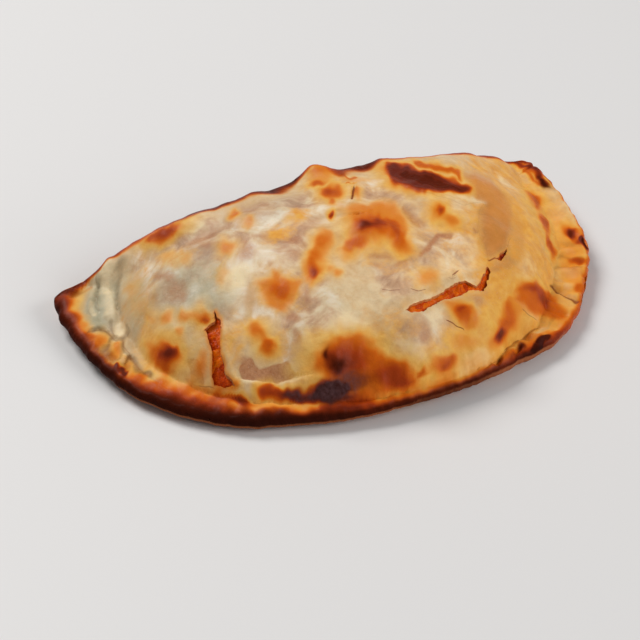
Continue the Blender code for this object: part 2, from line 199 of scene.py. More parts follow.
# Along the fold's bend: how far across the traced plane, how brown and how black it is, and how far down, mm
BACK_LINE = [
    (-86, 0.95, 0.80, 4.0), (-80, 0.92, 0.55, 3.2), (-72, 0.82, 0.30, 2.4), (-60, 0.84, 0.15, 3.0),
    (-57, 0.84, 0.30, 2.6), (-54, 1.00, 0.70, 3.0), (-46, 1.00, 0.60, 2.6), (-40, 1.00, 0.60, 2.6),
    (-31, 1.00, 0.60, 3.0), (-28.5, 1.00, 0.85, 4.6), (-21.5, 1.00, 0.85, 4.4), (-19, 0.74, 0.10, 2.2),
    (-14, 0.56, 0.00, 1.6), (-10.5, 0.85, 0.25, 3.2), (-8, 1.00, 0.75, 4.8), (1, 1.00, 0.70, 4.6),
    (4, 0.80, 0.15, 2.4), (11, 0.70, 0.00, 1.8), (20, 0.82, 0.15, 2.0), (27, 0.86, 0.20, 2.0),
    (40, 0.86, 0.20, 2.0), (48, 0.92, 0.35, 2.4), (56, 0.80, 0.25, 2.0),
]
# Round the pressed rim, by compass angle in degrees: how brown it is and how far in, how black and how far
# in, and how clearly the lower layer of dough shows below
RIM_BROWNED = [
    (36, 0.0, 1.0, 0.0, 1.0, 0.0), (142, 0.0, 1.0, 0.0, 1.0, 0.0), (152, 0.6, 3.0, 0.3, 1.5, 0.0),
    (160, 0.92, 8.0, 0.85, 4.5, 0.1), (168, 0.90, 6.5, 0.88, 4.2, 0.2), (177, 0.88, 5.5, 0.95, 4.8, 0.3),
    (183, 0.85, 5.0, 0.94, 4.2, 0.5), (188, 0.88, 7.0, 0.94, 4.8, 0.8), (192, 0.94, 12.0, 0.92, 6.0, 0.9),
    (197, 0.95, 15.0, 0.92, 7.4, 0.9), (204, 0.95, 14.0, 0.94, 7.4, 1.0), (210, 0.92, 9.5, 1.00, 6.9, 1.0),
    (217, 0.85, 8.0, 1.00, 5.8, 0.9), (226, 0.82, 4.8, 1.00, 2.6, 0.8), (236, 0.95, 6.5, 0.94, 2.1, 0.9),
    (246, 0.76, 3.6, 0.86, 1.2, 0.9), (262, 0.64, 3.6, 0.86, 1.5, 0.4), (280, 0.66, 3.4, 0.86, 1.6, 0.5),
    (291, 0.78, 3.8, 0.80, 1.5, 0.9), (301, 0.90, 5.0, 0.92, 2.6, 0.9), (311, 0.86, 4.4, 0.45, 1.5, 0.8),
    (319, 0.70, 3.0, 0.12, 1.0, 0.4), (332, 0.64, 2.6, 0.10, 0.9, 0.1), (345, 0.60, 2.4, 0.10, 0.9, 0.0),
    (380, 0.62, 2.4, 0.15, 0.9, 0.0),
]
# Compass angles, and from which downward slope the lower layer shows there
LAYER_SHOWS = ((238, 262, 312, 322), (0.22, -0.25, -0.25, 0.1))
# How brown a tear's lip is, and how far out
TEAR_LIPS = {"tear_left": (0.42, 1.5), "tear_right": (0.16, 0.8), "tear_small": (0.30, 0.8)}

# ---- colours, 0 to 255, along each mixture ------------------------------------------------------
MARBLING = [(0.15, (170, 124, 98)), (0.38, (204, 164, 132)), (0.55, (228, 202, 166)), (0.8, (244, 232, 212))]
BROWNS = [
    (0.0, (238, 186, 96)), (0.2, (236, 160, 58)), (0.38, (226, 130, 28)), (0.56, (208, 98, 10)),
    (0.75, (168, 60, 8)), (0.95, (104, 30, 8)),
]
TORN_BROWNS = [(0.15, (150, 66, 20)), (0.5, (196, 108, 44)), (0.85, (226, 160, 92))]
MINCE_REDS = [(0.1, (156, 36, 0)), (0.4, (212, 72, 0)), (0.65, (240, 104, 0)), (0.95, (250, 148, 24))]
FLOOR_TONE = (226, 225, 225)
CHUNK = 2.6                  # size of the filling's pieces, mm

# ---- the studio, m ------------------------------------------------------------------------------
FLOOR = 6.0                  # half width of the floor
WORLD = 0.24                 # strength of the light from all round
# Name, compass angle, degrees above the horizontal, distance, width, power in watts and tint
LIGHTS = [
    ("key", 112, 50, 1.6, 0.85, 17.5, (1, 0.985, 0.96)),
    ("fill", -50, 29, 1.8, 1.2, 17.5, (1, 0.99, 0.98)),
]
CAMERA_AT = (-0.16940, -0.30231, 0.24048)
CAMERA_LOOKS = (0.3719, 0.7299, -0.5736)         # from the front left, 35 degrees down
LENS, SENSOR_WIDTH = 84.375, 36.0        # mm
CLIP = (0.01, 10.0)

# Lines on the traced plane, mm, that more than one channel uses
STREAK = [(8.4, 29.3), (9.9, 26.4), (11.9, 24)]
ARC = [(11.5, 16.9), (15.2, 19.3), (17.6, 21.2), (20.2, 21.4)]
SKIN_ZONE = [
    (28.5, 41.2), (34.4, 40.3), (37.4, 37.1), (39.4, 31.8), (39.6, 26.3), (38, 20.6), (36.6, 18.8),
    (32.1, 15.6), (30.8, 16.4), (30.4, 19.2), (29, 24.3), (30.2, 28.9), (31.8, 31.8), (28.8, 34.1),
    (27.6, 38.7),
]
OVAL_LEFT = [(-71.2, -1.8), (-71, -3.7), (-69.8, -5.5)]
OVAL_RIGHT = [(-67.3, -1.8), (-66.5, -3.6), (-67.3, -5.8)]
DENT_CREASE = [
    (-34.7, -15.9), (-32, -16.3), (-29.4, -16.6), (-26.1, -16.9), (-22.1, -15.9), (-19.1, -15.3),
    (-16.5, -14.6),
]
FRONT_CREASE = [(26.1, -15.8), (31, -11.7), (35.2, -8.3), (40.3, -5.1), (44.3, -2.9)]
SLIT = [(-5.2, 36.2), (-5.5, 34.5), (-5.8, 32.8)]
WRINKLE = [(1.6, -6.8), (3.4, -7.6), (2.9, -9.4)]
WRINKLE_FORK = [(3.4, -7.6), (4.9, -5.7), (6.2, -4)]

# What is painted on the crust, in mm on the traced plane. Spots: across, up, half length, half width,
# heading in degrees, strength. Strokes: points, half width, strength. Patches: outline, width of the
# soft edge, strength.
PAINT = {
    # browned spots and blisters, dark pinholes, and the fork's lobes by the rim
    "TOAST_SPOTS": [
        (-80.1, -2.6, 1.9, 1.6, -50, 0.42), (-73.3, -6.6, 1.7, 1.6, -40, 0.48),
        (-68.3, -8.9, 1.5, 1.3, -40, 0.42), (-65, -12, 1.6, 1.3, -30, 0.25),
        (-61.9, -16.5, 2.3, 1.6, -20, 0.62), (-57.3, 22.8, 4.7, 1.9, 28, 0.78),
        (-61.4, 21.3, 2.2, 1.1, 28, 0.6), (-38.3, 27.7, 1.5, 1.1, 0, 0.5),
        (-34.1, 25.4, 1.4, 1.1, 0, 0.28), (-55.4, -0.7, 1.8, 1.6, 0, 0.4),
        (-51.1, -4.1, 1.3, 1.3, 0, 0.38), (-45.5, -0.4, 2.5, 2.3, 0, 0.52),
        (-44.8, -1.7, 1.3, 1.3, 0, 0.68), (-58.7, -9.6, 2.1, 3.7, 0, 0.48),
        (-54.3, -14.4, 2.1, 1.8, 0, 0.5), (-47.5, -18.9, 5.6, 1.8, -8, 0.5),
        (-39.6, -21.3, 3.1, 1.3, -8, 0.66), (-35, -21.7, 3.6, 1.1, -8, 0.9),
        (-16.4, 11.1, 1.6, 1.8, 0, 0.76), (-11.6, 34.7, 2.8, 2.1, 0, 0.72),
        (-11.7, 31.5, 1.1, 1.7, 0, 0.52), (-11.6, 27.4, 0.9, 0.9, 0, 0.86), (-4.4, 34.2, 1.4, 1.4, 0, 0.5),
        (-9.3, 30, 1.9, 1.4, 0, 0.22), (-5.6, 39, 4.6, 1, 0, 0.34), (13.6, 9.8, 3.1, 2.1, 10, 0.38),
        (6.1, 42.1, 3.2, 2.3, 0, 0.72), (11.9, 36.3, 6.2, 2, -14, 0.66), (26.9, 36.2, 1.7, 2, 0, 0.52),
        (51.6, 46.2, 3.1, 1.9, -30, 0.72), (60, 24.2, 3.2, 2.4, -20, 0.62), (59.4, 24.3, 1.5, 1.5, 0, 1),
        (59.6, 15.8, 2.9, 1.2, -5, 0.72), (61.9, 22, 2.3, 0.9, -5, 0.7), (58.5, 7.8, 2, 2.8, -10, 0.58),
        (17.2, -12.5, 3.9, 2.1, 15, 0.6), (16.9, -13.3, 1.8, 1.2, 15, 0.6), (11.4, -14.5, 2, 1.5, 20, 0.6),
        (-7.1, -7.1, 6.1, 2.5, 4, 0.58), (-15.2, -11.1, 1.5, 2.5, 0, 0.42),
        (-8.4, -11.9, 7.1, 4.6, 5, 0.8), (3.6, -15.5, 6.1, 4.1, -12, 0.74),
        (6.7, -17.5, 3.6, 2.5, 0, 0.62), (-6.6, -22, 6.1, 2, 6, 0.66), (-0.2, 24, 6.4, 3.9, -8, 0.58),
        (-1.9, 23.9, 2.9, 1.9, 0, 0.88), (1.5, 24.9, 2.4, 2.4, 0, 0.78), (5.8, 21.1, 2.4, 3.5, 22, 0.55),
        (7, 18.6, 2.1, 1.9, 0, 0.48), (-5.1, 19.2, 3.2, 2.4, 20, 0.56), (-7.8, 17.3, 2.1, 1.3, 20, 0.4),
        (-14.2, 19.5, 2.5, 2.1, 0, 0.46), (-15.6, 15.6, 2.2, 2.6, -10, 0.48),
        (-16.6, 12.3, 2, 2.6, 0, 0.54), (-25, 5.9, 2.3, 1.7, 0, 0.54), (-54.7, -10.8, 3.8, 3.9, 0, 0.74),
        (-53.8, -9.5, 2.5, 2.3, 0, 0.92), (-39.6, 17.9, 2.4, 2, 0, 0.42), (-10.3, 11.1, 1.7, 1.3, 0, 0.4),
        (-12.6, 12.3, 1.4, 1.2, 0, 0.36), (-34.3, 25.4, 1.9, 1.4, 0, 0.32),
        (-30.8, -3.8, 2.6, 1.9, -10, 0.52), (-29.5, -5.8, 1.5, 1.5, 0, 0.44),
        (-28, -7.8, 2.2, 2.2, 0, 0.62), (-59.2, -1.2, 1.9, 1.6, 0, 0.3), (-49.6, -0.4, 2.3, 1.6, 0, 0.42),
        (17.6, 28.6, 2.5, 2.5, 0, 0.5), (21.1, 26.1, 2.5, 2.2, -20, 0.48), (18.5, 28.9, 1.6, 1.5, 0, 0.72),
        (-14.1, 40.4, 4.3, 2.6, 25, 0.4), (-15.3, 37.8, 2.6, 0.9, 10, 0.6),
        (49.9, 34.8, 2.7, 3.3, 30, 0.68), (50.9, 27.2, 1.7, 3.5, 15, 0.68),
        (51.9, 20.3, 1.4, 3.7, 8, 0.68), (33.2, -5.7, 2.6, 2.6, 0, 0.62), (33, -5.5, 1.7, 1.7, 0, 1),
        (21.7, 1.6, 2.1, 1.8, 0, 0.54), (21.8, 1.4, 1.3, 1.2, 0, 0.62), (22.9, -6.7, 4.4, 2.3, 0, 0.37),
        (34.3, -2.6, 3.2, 2.9, 0, 0.5), (42.8, 6.9, 2.5, 1.5, -20, 0.68), (39.3, 2.8, 5.4, 4.9, 0, 0.22),
        (-78.2, -4.2, 1.2, 1.3, -30, 0.4), (-74.2, -7.6, 1.2, 1.5, -35, 0.44),
        (-69.4, -10.7, 1.2, 1.5, -40, 0.42), (-65.4, -13.6, 1.2, 1.3, -40, 0.4),
        (-86.3, 2.1, 3, 3.9, 0, 0.8), (-85, 6.3, 2.8, 2, 30, 0.6), (-3.4, 24.5, 2.1, 1.9, 0, 0.64),
        (57.6, 15.5, 4, 9.8, 6, 0.36), (61.1, 22.3, 2.6, 5.3, 10, 0.36), (20.2, -9.5, 4.1, 2.3, 15, 0.22),
        (-37, -17.2, 1.3, 1.5, 0, 0.45), (-25.3, 6.8, 3.4, 2.6, 0, 0.48), (46, 5.1, 4.1, 2.5, -25, 0.68),
        (36.2, 1.7, 2.1, 2.7, -15, 0.46), (35.5, -1.8, 3.7, 4.5, -10, 0.5),
        (4.9, 23.5, 1.3, 3.8, 20, 0.62), (47.3, 3.5, 3, 1.4, -30, 0.72), (22.6, 0.3, 2.1, 2.3, -30, 0.62),
        (51.3, -1.8, 2.2, 2.5, 0, 0.36), (24.8, -11.9, 5.7, 1.8, 24, 0.26),
        (-56.1, 15.9, 2.4, 1.6, 0, 0.25), (-50.9, 15.4, 2.1, 1.6, 0, 0.25),
        (-40.3, 10.3, 1.8, 2.6, 0, 0.25), (-66, 7, 1.9, 2.5, 0, 0.2), (-64.2, 2.5, 2.2, 2.2, 0, 0.18),
        (-15, 42, 3.5, 1.7, 8, 0.48),
    ],
    # the blackened middles of the large blisters, the tips and two pits in the rim
    "CHAR_SPOTS": [
        (59.4, 24.3, 1.1, 1.1, 0, 0.7), (-12.2, -19.4, 4, 3, 8, 0.92), (-10.1, -12.9, 3, 2.5, 0, 0.84),
        (-12.7, -10.3, 1.3, 1.8, 0, 0.8), (-6.6, -17.2, 5.1, 3, 5, 0.66),
        (-19.8, -20.4, 4.6, 1.6, 0, 0.74), (-23.3, -20.5, 2.3, 1.3, 0, 0.62),
        (-1.5, -16, 3.6, 2.5, -10, 0.38), (-34.2, -21.8, 2.3, 0.8, -8, 0.5),
        (-53.9, -9.3, 1.7, 1.4, 0, 0.24), (32.9, -6, 1.1, 1.2, 0, 0.45), (54.7, 41.2, 1.2, 2.5, 30, 0.75),
        (32.3, -11.4, 0.8, 0.9, 0, 0.6), (38.6, -8.3, 0.9, 0.9, 0, 0.8), (-87.3, 0.4, 1.9, 3, 0, 0.85),
        (-83.9, 6, 2.8, 1.5, 30, 0.62), (-9.9, -21.7, 3.8, 1.4, 6, 0.8),
    ],
    # golden dough: the whole right, the rim's lobes and the halos of the blisters
    "GOLD_SPOTS": [
        (40.1, 15.2, 16.4, 30.1, 0, 0.9), (27, -9, 18.3, 10.4, 25, 0.9), (-55.3, 15, 4.3, 2.4, 0, 0.55),
        (-50.3, 15.1, 2.4, 1.9, 0, 0.5), (-21.2, 27.5, 3.8, 2.2, 15, 0.5), (-26.3, 22, 4, 2.7, 20, 0.5),
        (-62.9, 1.5, 4.6, 11.2, 0, 0.62), (-40.3, 8.9, 2.9, 3.1, 0, 0.62),
        (-40.4, 12.4, 2.6, 3.2, 0, 0.35), (-24.9, -7.6, 3.6, 4.1, 0, 0.55),
        (-32.6, -3.8, 3.6, 3.1, 0, 0.4), (-37.1, -7.6, 3.1, 7.6, 0, 0.55),
        (-45.5, -8.9, 2.6, 6.7, 0, 0.45), (-80.2, 1.5, 2.5, 2.8, 0, 0.55),
        (-27.4, -20.2, 3.3, 3.6, 0, 0.75), (-19.2, -23.9, 4.5, 1.3, -3, 0.85),
        (-24.9, -17.2, 7.6, 1.3, 3, 0.5), (-10.9, -24.2, 6.6, 1.3, 3, 0.7), (5.7, -21.1, 14, 2.3, 15, 0.9),
        (2.5, 18.6, 9, 6.9, 0, 0.42), (-24.3, 6, 6.2, 5.7, 0, 0.35), (-9.1, 36.6, 8.5, 2.5, 0, 0.5),
        (3.2, -1.2, 5.6, 6.6, 0, 0.32), (20, 27.5, 7.1, 5.5, -20, 0.62), (19.9, 14.2, 5.3, 4.3, 0, 0.35),
        (17.2, 39.2, 12.8, 6.3, -12, 0.55), (39.4, 43.8, 12, 6.6, 0, 0.7), (14.1, 9.8, 5.2, 3.7, 0, 0.4),
        (-8.4, -5.8, 10.1, 3, 4, 0.55), (27, -9, 15.6, 6.8, 25, 0.9), (58.6, 14.6, 4.6, 14.4, 0, 0.9),
        (20.9, 11.4, 2.4, 2.1, 0, 0.55), (31, 4.1, 4.3, 5.8, 0, 0.75), (34.2, 28.1, 5, 11.2, 0, 0.8),
        (40.4, 22.4, 2.8, 8.4, 0, 0.9), (-80, -0.7, 2.2, 3.8, -20, 0.75),
        (-70.4, -9.2, 5.8, 2.7, -42, 0.7), (-63, -14.8, 3.7, 1.6, -42, 0.6),
        (25.3, -11.6, 8.8, 3.1, 22, 0.75), (-13.8, 42.7, 4, 2.3, 25, 0.8),
        (-53.2, 15.2, 4.3, 2.4, -5, 0.9), (-21.5, 26.7, 3.3, 2.2, 30, 0.75),
        (-26.5, 21.8, 2.7, 2.1, 0, 0.7), (-63.9, 2.8, 3.5, 7.5, 0, 0.6), (-3.2, -0.7, 3.1, 3.6, -30, 0.4),
        (24.8, -11.9, 6.2, 2.1, 24, 0.7), (-53.6, 15.8, 4.6, 1.9, 0, 0.9), (-40.3, 10, 2.1, 3.1, 0, 0.9),
        (-65.3, 6.4, 2.4, 4.4, 0, 0.55),
    ],
    # mauve-brown skin where the filling shows through thin dough
    "LILAC_SPOTS": [
        (-46.9, 19.6, 4.6, 2.4, 25, 0.55), (-56.5, 10.3, 3.7, 2.1, -20, 0.55),
        (-57.4, 10.6, 1.3, 1.1, 0, 0.5), (-52.8, 5.6, 3.4, 3.2, 0, 0.6), (-44.1, 22.5, 2.5, 1.4, 30, 0.35),
        (-34.2, 17, 2.4, 2.4, 40, 0.6), (-31, 21.2, 1.3, 1.3, 0, 0.5), (-27.8, 29.5, 6.6, 1.4, 20, 0.25),
        (-25.5, 17.3, 1.9, 1.1, 0, 0.45), (-21.6, 19.8, 2.4, 1.6, 30, 0.55),
        (-22.1, 16.1, 1.8, 1.6, 0, 0.5), (-27.8, 13.9, 1, 0.8, 0, 0.5), (-15.8, 25.6, 3, 1.4, 20, 0.45),
        (-27.3, 12.9, 4.2, 2.4, 0, 0.22), (-32.2, 4.7, 2.3, 3.6, -15, 0.4),
        (-38.9, 1.9, 2.1, 2.1, 0, 0.25), (-17.5, 6.2, 1, 2.6, -10, 0.45), (-21.6, -0.5, 2.3, 1.3, 0, 0.6),
        (-20.5, -5.5, 1.4, 1.8, 0, 0.68), (-21.6, -9.4, 2.3, 4.1, -20, 0.5),
        (-33.2, -12.4, 3.3, 2, -20, 0.6), (-46.8, -14.6, 1.3, 3.1, 10, 0.7),
        (-48.7, -9.5, 2.1, 2.1, 0, 0.35), (-52.6, -5.9, 2.3, 2.1, 0, 0.3), (1.1, 16, 3.2, 1.3, -5, 0.7),
        (6.6, 14.1, 3.1, 1, 22, 0.7), (10.2, 26.6, 1.4, 3.3, 32, 0.75), (13.1, 25.8, 0.8, 2.2, 40, 0.4),
        (28.1, 23.7, 1.4, 2.2, 0, 0.35), (21.9, 3.5, 4.7, 2.1, 20, 0.4), (18.8, -1.2, 1.6, 2.1, 0, 0.45),
        (36.5, 15.4, 3.3, 2.5, -10, 0.45), (12.2, -4.3, 1.7, 2.8, -5, 0.62), (2.6, -7.3, 1.8, 1.8, 0, 0.4),
        (8.2, -6.3, 5.6, 4.6, 0, 0.14), (-63.2, 16.8, 3.3, 2.2, 30, 0.3), (-8.1, 29.1, 1.9, 1.9, 0, 0.55),
        (26.8, 4, 2.4, 1.8, 0, 0.55), (33.4, 13.4, 3.8, 1.4, 15, 0.5), (-34.4, 27.7, 8.2, 3.6, 22, 0.5),
        (-79, 4.3, 3.9, 3.3, 0, 0.22), (40.8, 22.8, 2.2, 7.3, -5, 0.45), (-70.8, -10, 2.9, 1.9, -40, 0.6),
        (-65.4, -12.5, 1.8, 1.3, -40, 0.4),
    ],
    # pale cream dough, as in the pale centre, and painted highlights on folds and lips
    "CREAM_SPOTS": [
        (-49.6, 24.6, 2.7, 1.2, 15, 1), (-36.6, 10, 3.1, 2.9, 0, 0.9), (-34, 11.8, 2.4, 2.6, 0, 0.6),
        (-39.1, 6, 4.7, 2.6, 0, 0.4), (-8.3, 2.6, 7.7, 8.7, 0, 0.32), (-8.2, 7.8, 5.7, 4.1, 0, 0.28),
        (18.3, 12.5, 9, 4.2, 15, 0.4), (8.7, -9.4, 5.1, 3.6, 20, 0.4), (-8.8, 24.3, 1.9, 2.4, 0, 0.5),
        (-8, 34.9, 2, 1.4, 0, 0.55), (19.9, 32, 8.9, 1.1, -14, 0.5), (12.5, 41.2, 7.5, 0.7, -18, 0.45),
        (-25.9, -16.7, 6.6, 0.9, 3, 0.85), (-35, -15.7, 2.5, 1, -15, 0.5),
        (40.5, 40.1, 4.7, 1.2, -45, 0.4), (41.1, 3.4, 1.4, 1.1, 0, 0.6), (-30.4, 25.3, 6, 2.2, 20, 0.25),
        (-17.2, -6.3, 2.5, 3.6, 0, 0.4), (57.3, 18.8, 2, 0.7, -5, 0.6), (56.9, 12.5, 2, 0.9, -5, 0.8),
        (55.7, 8.4, 2, 1, -5, 0.8), (57.7, 28.7, 1.8, 0.9, -30, 0.4), (45.8, -3.4, 2.2, 1.1, 30, 0.5),
        (24.3, -12.1, 6.8, 2.3, 22, 0.5), (34.9, 4.1, 2.7, 3.8, 0, 0.2), (15.3, -0.7, 4.1, 2.6, 15, 0.55),
        (-1.8, 3.9, 6.2, 5.1, 0, 0.4), (-7.1, -3.3, 5.1, 4.1, 0, 0.8), (-76.3, -6, 0.9, 1.3, -35, 0.5),
        (-71.7, -9.2, 0.9, 1.3, -40, 0.5), (-67.3, -12.3, 0.9, 1.3, -40, 0.5),
        (25.7, 17.6, 3.2, 4.9, -20, 0.35), (41.6, 11.9, 3.3, 4.4, -10, 0.3), (17, 13.3, 3.7, 2.1, 20, 0.3),
        (-50.1, 25.1, 1.6, 1.2, 20, 0.8), (-53.2, 15.2, 7, 4.3, -5, 0.3), (-74.1, 7.2, 1.4, 5.6, -5, 0.28),
        (-15.3, 42, 1.4, 0.9, 20, 0.3),
    ],
    # greyer, darker tone, mostly on the left
    "COOL_SPOTS": [
        (-75.4, 2.9, 6.1, 9.4, 0, 0.85), (-68.9, 11.3, 4.4, 6.1, 30, 0.4),
        (-48.9, 6.7, 11.9, 11.9, 0, 0.55), (-41.7, 4.5, 5.7, 4.7, 0, 0.55),
        (-30.5, 28.3, 13.7, 4.4, 22, 0.35), (-7, 1.3, 9.2, 9.2, 0, 0.3), (-19.8, -8.8, 4.1, 6.1, 0, 0.35),
        (-48.2, -7.7, 4.6, 5.2, 0, 0.35), (5.7, -7.6, 5.6, 4.1, 0, 0.18), (-64.7, 1.5, 4.3, 10.8, 0, 0.5),
        (-72.5, 2.1, 1.9, 3.9, 0, 0.5),
    ],
    # browned lines along the rim, the front ridge and the back corner
    "TOAST_STROKES": [
        ([(47.1, 48.3), (49.6, 47.1), (51.8, 47.1), (53.1, 44.7), (54.9, 40.9)], 0.95, 0.85),
        ([(62.3, 22.6), (63.6, 20.1)], 0.65, 1),
        ([(-8.4, -22.2), (0.6, -21.1), (8.3, -19.6), (13.5, -18.2), (20.2, -15.2)], 1.52, 0.36),
        ([(-9.6, -24.2), (0.5, -22.8), (10.8, -19.9), (18.8, -17.5)], 0.88, 0.28),
        ([(-9, 40), (-4.1, 39.8)], 0.29, 0.55),
        ([(-7.3, 37.7), (-4.8, 37.4)], 0.25, 0.5),
        ([(49, 45.5), (51, 43.6), (53.4, 40.8)], 0.78, 0.55),
        ([(55.1, 30.4), (57.9, 23.8), (58.6, 17.6), (56.2, 10.1), (51.8, 2.9), (46.6, -2.6)], 3.31, 0.26),
        ([(50.9, 45), (54, 36.9), (57, 30.4)], 2.5, 0.18),
        ([(-31.2, -6.3), (-27.4, -9.4), (-22.3, -9.4)], 1.27, 0.16),
        ([(13.1, 44), (17.5, 43), (22.4, 41.6), (25.4, 40.3)], 1.3, 0.58),
        ([(26.9, -18.9), (34.2, -15.9), (41.1, -12.4), (47.8, -9.3)], 1.56, 0.72),
        ([(-31.9, -22.5), (-23.5, -23.4), (-15.2, -24.1)], 1.27, 0.34),
        ([(-14.2, -23.7), (-8.4, -23.6), (-1.5, -22.5)], 1.14, 0.7),
        ([(38.6, -8.4), (42.8, -6.9), (46.8, -4.7)], 0.96, 0.4),
        ([(-69.2, -13.5), (-67.6, -14.4), (-65.7, -15), (-64.6, -15)], 0.58, 1),
        ([(-28.4, -19.5), (-24.1, -20.4), (-18.7, -20.9), (-13.2, -21)], 1.65, 0.8),
    ],
    # black lines on the right-hand edge
    "CHAR_STROKES": [
        ([(53.3, 44), (54.5, 41.9), (55.4, 39.8)], 0.62, 0.75),
        ([(62.8, 22), (63.7, 20.3)], 0.47, 0.9),
    ],
    # streaks, furrows and the fork's hollows
    "LILAC_STROKES": [
        (STREAK, 0.88, 0.8),
        ([(10.5, 28.1), (13.6, 24.3)], 0.38, 0.45),
        (ARC, 0.79, 0.85),
        ([(27.4, 23.9), (28.6, 22.7)], 0.38, 0.6),
        ([(-17.8, 9.1), (-17.3, 3.9)], 0.78, 0.4),
        ([(-83.3, 5.5), (-81.8, 6.9), (-79.7, 8.3)], 0.61, 0.7),
        ([(28.3, 39.4), (33.6, 36.5), (36.3, 31.3)], 1.72, 0.35),
        ([(54.9, 26.7), (50.9, 21.7), (48.2, 18.5), (48.5, 13.9), (50.4, 10.9)], 0.71, 0.3),
        ([(27.5, -14.6), (31.1, -12.5)], 0.78, 0.8),
        ([(33.9, -10.6), (37.5, -8.3)], 0.79, 0.8),
    ],
    # painted highlights on the lips of the dent and the tears, and on the pale ridges of the left flange
    "CREAM_STROKES": [
        ([(-34.5, -16.4), (-30.4, -16.8), (-26.1, -17.6), (-21.5, -16.9), (-17.7, -15.8),
          (-16.2, -14.6)], 1.01, 0.45),
        ([(9.3, 39.9), (12.8, 36.3), (17.6, 34.3), (23.1, 33.3), (27.5, 32.8), (32.2, 32.4)], 0.91, 0.7),
        ([(10, 43.4), (13.5, 42.2), (18.5, 41), (23.9, 39.6), (28.1, 38.4)], 0.58, 0.55),
        ([(7.8, 1.6), (13, 4.5), (18.2, 7.1), (23.2, 9.1), (27.2, 8.9)], 0.77, 0.4),
        ([(-44.1, 5), (-48.6, 1.4), (-49.5, -2.8)], 1.56, 0.3),
        ([(-65.7, -9.7), (-63.9, -12.3), (-61.5, -14)], 0.8, 0.65),
        ([(-69.4, -6.6), (-67.5, -9.2)], 0.8, 0.55),
        ([(-74.1, 13.9), (-74.9, 10), (-74.2, 6.3), (-72.7, 3.5), (-71.7, -0.1)], 1.69, 0.62),
        ([(-77.4, 10.3), (-78.6, 7.2), (-78.3, 4.6)], 0.96, 0.35),
        ([(-77, 2.9), (-76.8, 1)], 0.83, 0.5),
        ([(-69.1, -2.3), (-69, -4.2)], 1.22, 0.75),
        ([(39.4, 3.4), (40.4, 1.9), (42.5, 0.7), (44.4, 0)], 0.7, 0.5),
        ([(41.1, -5.8), (46.1, -4.2)], 0.7, 0.5),
    ],
    # the large browned blisters and the rim's browned stretches
    "TOAST_PATCHES": [
        ([(3.9, 43.6), (6.3, 44.2), (9.7, 43.8), (12.6, 41.9), (16.8, 41), (20.4, 39.6), (25.5, 38.4),
          (28.2, 36.5), (26.7, 34.3), (19.7, 34.4), (14.5, 34.1), (11, 35.1), (7.7, 36.1), (5.4, 38.2),
          (4, 41)], 2.3, 0.86),
        ([(5.2, 41.7), (9.6, 42.9), (12.4, 41.2), (16.6, 40.5), (20.4, 39), (25.2, 37.5), (26.9, 36.2),
          (25.3, 34.8), (19.8, 35.4), (13.3, 36), (9.1, 38.2), (5.4, 40.3)], 2.6, 1),
        (SKIN_ZONE, 4.6, 0.3),
        ([(-82.2, -0.7), (-77.2, -3.9), (-72.6, -6.1), (-68.4, -8.7), (-64.7, -12.3), (-60.4, -15.3),
          (-61.5, -19.2), (-68, -16.8), (-74.1, -12.3), (-80.3, -6.6)], 2.2, 0.2),
        ([(-15.7, -20.4), (-14.7, -15.9), (-13.9, -10.8), (-12.2, -7.8), (-7.1, -7.1), (-2.5, -7.8),
          (3.1, -10.4), (6.9, -14), (8.8, -17.6), (5.2, -20.1), (-1.5, -22), (-8.4, -23.2),
          (-12.7, -22.7)], 4.5, 0.54),
        ([(-25.8, -20.2), (-22.3, -19), (-16.7, -18.1), (-12.2, -15.9), (-12.2, -22), (-18.2, -22.5),
          (-22.8, -21.5)], 2.3, 0.76),
        ([(40.3, 31.5), (42.7, 29.5), (43, 22.6), (40.9, 16.4), (36.4, 14), (36.9, 18.5),
          (38.9, 24.5)], 4.6, 0.18),
        ([(24.2, -15.8), (31.7, -11.2), (38.3, -7), (42, -4.7), (47.6, -5.8), (48.5, -8.2), (43.1, -11.4),
          (34.2, -14.9), (27.5, -18.9), (24.2, -18.9)], 0.8, 0.42),
        ([(38.3, 7.5), (40, 9.4), (44.2, 9.8), (49.4, 7.2), (52.3, 3.8), (52.6, 0.4), (50.1, -2),
          (47.3, -0.5), (44.4, -0.2), (40.9, 1), (38.7, 3.3)], 3.8, 0.56),
        ([(36, 6.2), (39, 5.4), (40.2, 1.3), (37.8, -3), (35.4, -7.5), (31.5, -9.8), (28.6, -8.6),
          (29, -4.7), (32.2, -1.4), (33.8, 2.8)], 3.8, 0.42),
        ([(17.3, 4.5), (21.9, 4.5), (26.7, 1.2), (26.9, -2.7), (22.5, -3.9), (20.2, -0.9),
          (18.1, 1.8)], 3.4, 0.44),
        ([(-31.3, 9.2), (-28.6, 10.7), (-27.2, 12.5), (-24.8, 12.5), (-23.6, 10.3), (-20.3, 9.4),
          (-19.1, 7), (-20.8, 4.1), (-22.9, 1.1), (-26.1, 0.5), (-28.8, 2.9), (-30.9, 6.2)], 4.4, 0.44),
        ([(-7.5, 29.1), (-5, 31.6), (-1, 31.3), (3.3, 31.7), (6.8, 30.6), (9, 26.1), (9.7, 21.1),
          (10.4, 17.4), (7.6, 15.9), (5, 17.4), (3.4, 19.8), (0.7, 19.2), (-2.7, 19.2), (-5.1, 16.2),
          (-8.3, 14.7), (-10, 16.5), (-7.7, 19.9), (-7, 23.9)], 4.4, 0.44),
        ([(-14.3, 24.1), (-11.2, 22.1), (-11.3, 17.6), (-13.4, 13.5), (-14.3, 10.1), (-16.6, 7.4),
          (-19.3, 8.3), (-20.2, 12), (-18.2, 16.3), (-16.4, 20.4)], 3.5, 0.42),
    ],
    # the top and front chars
    "CHAR_PATCHES": [
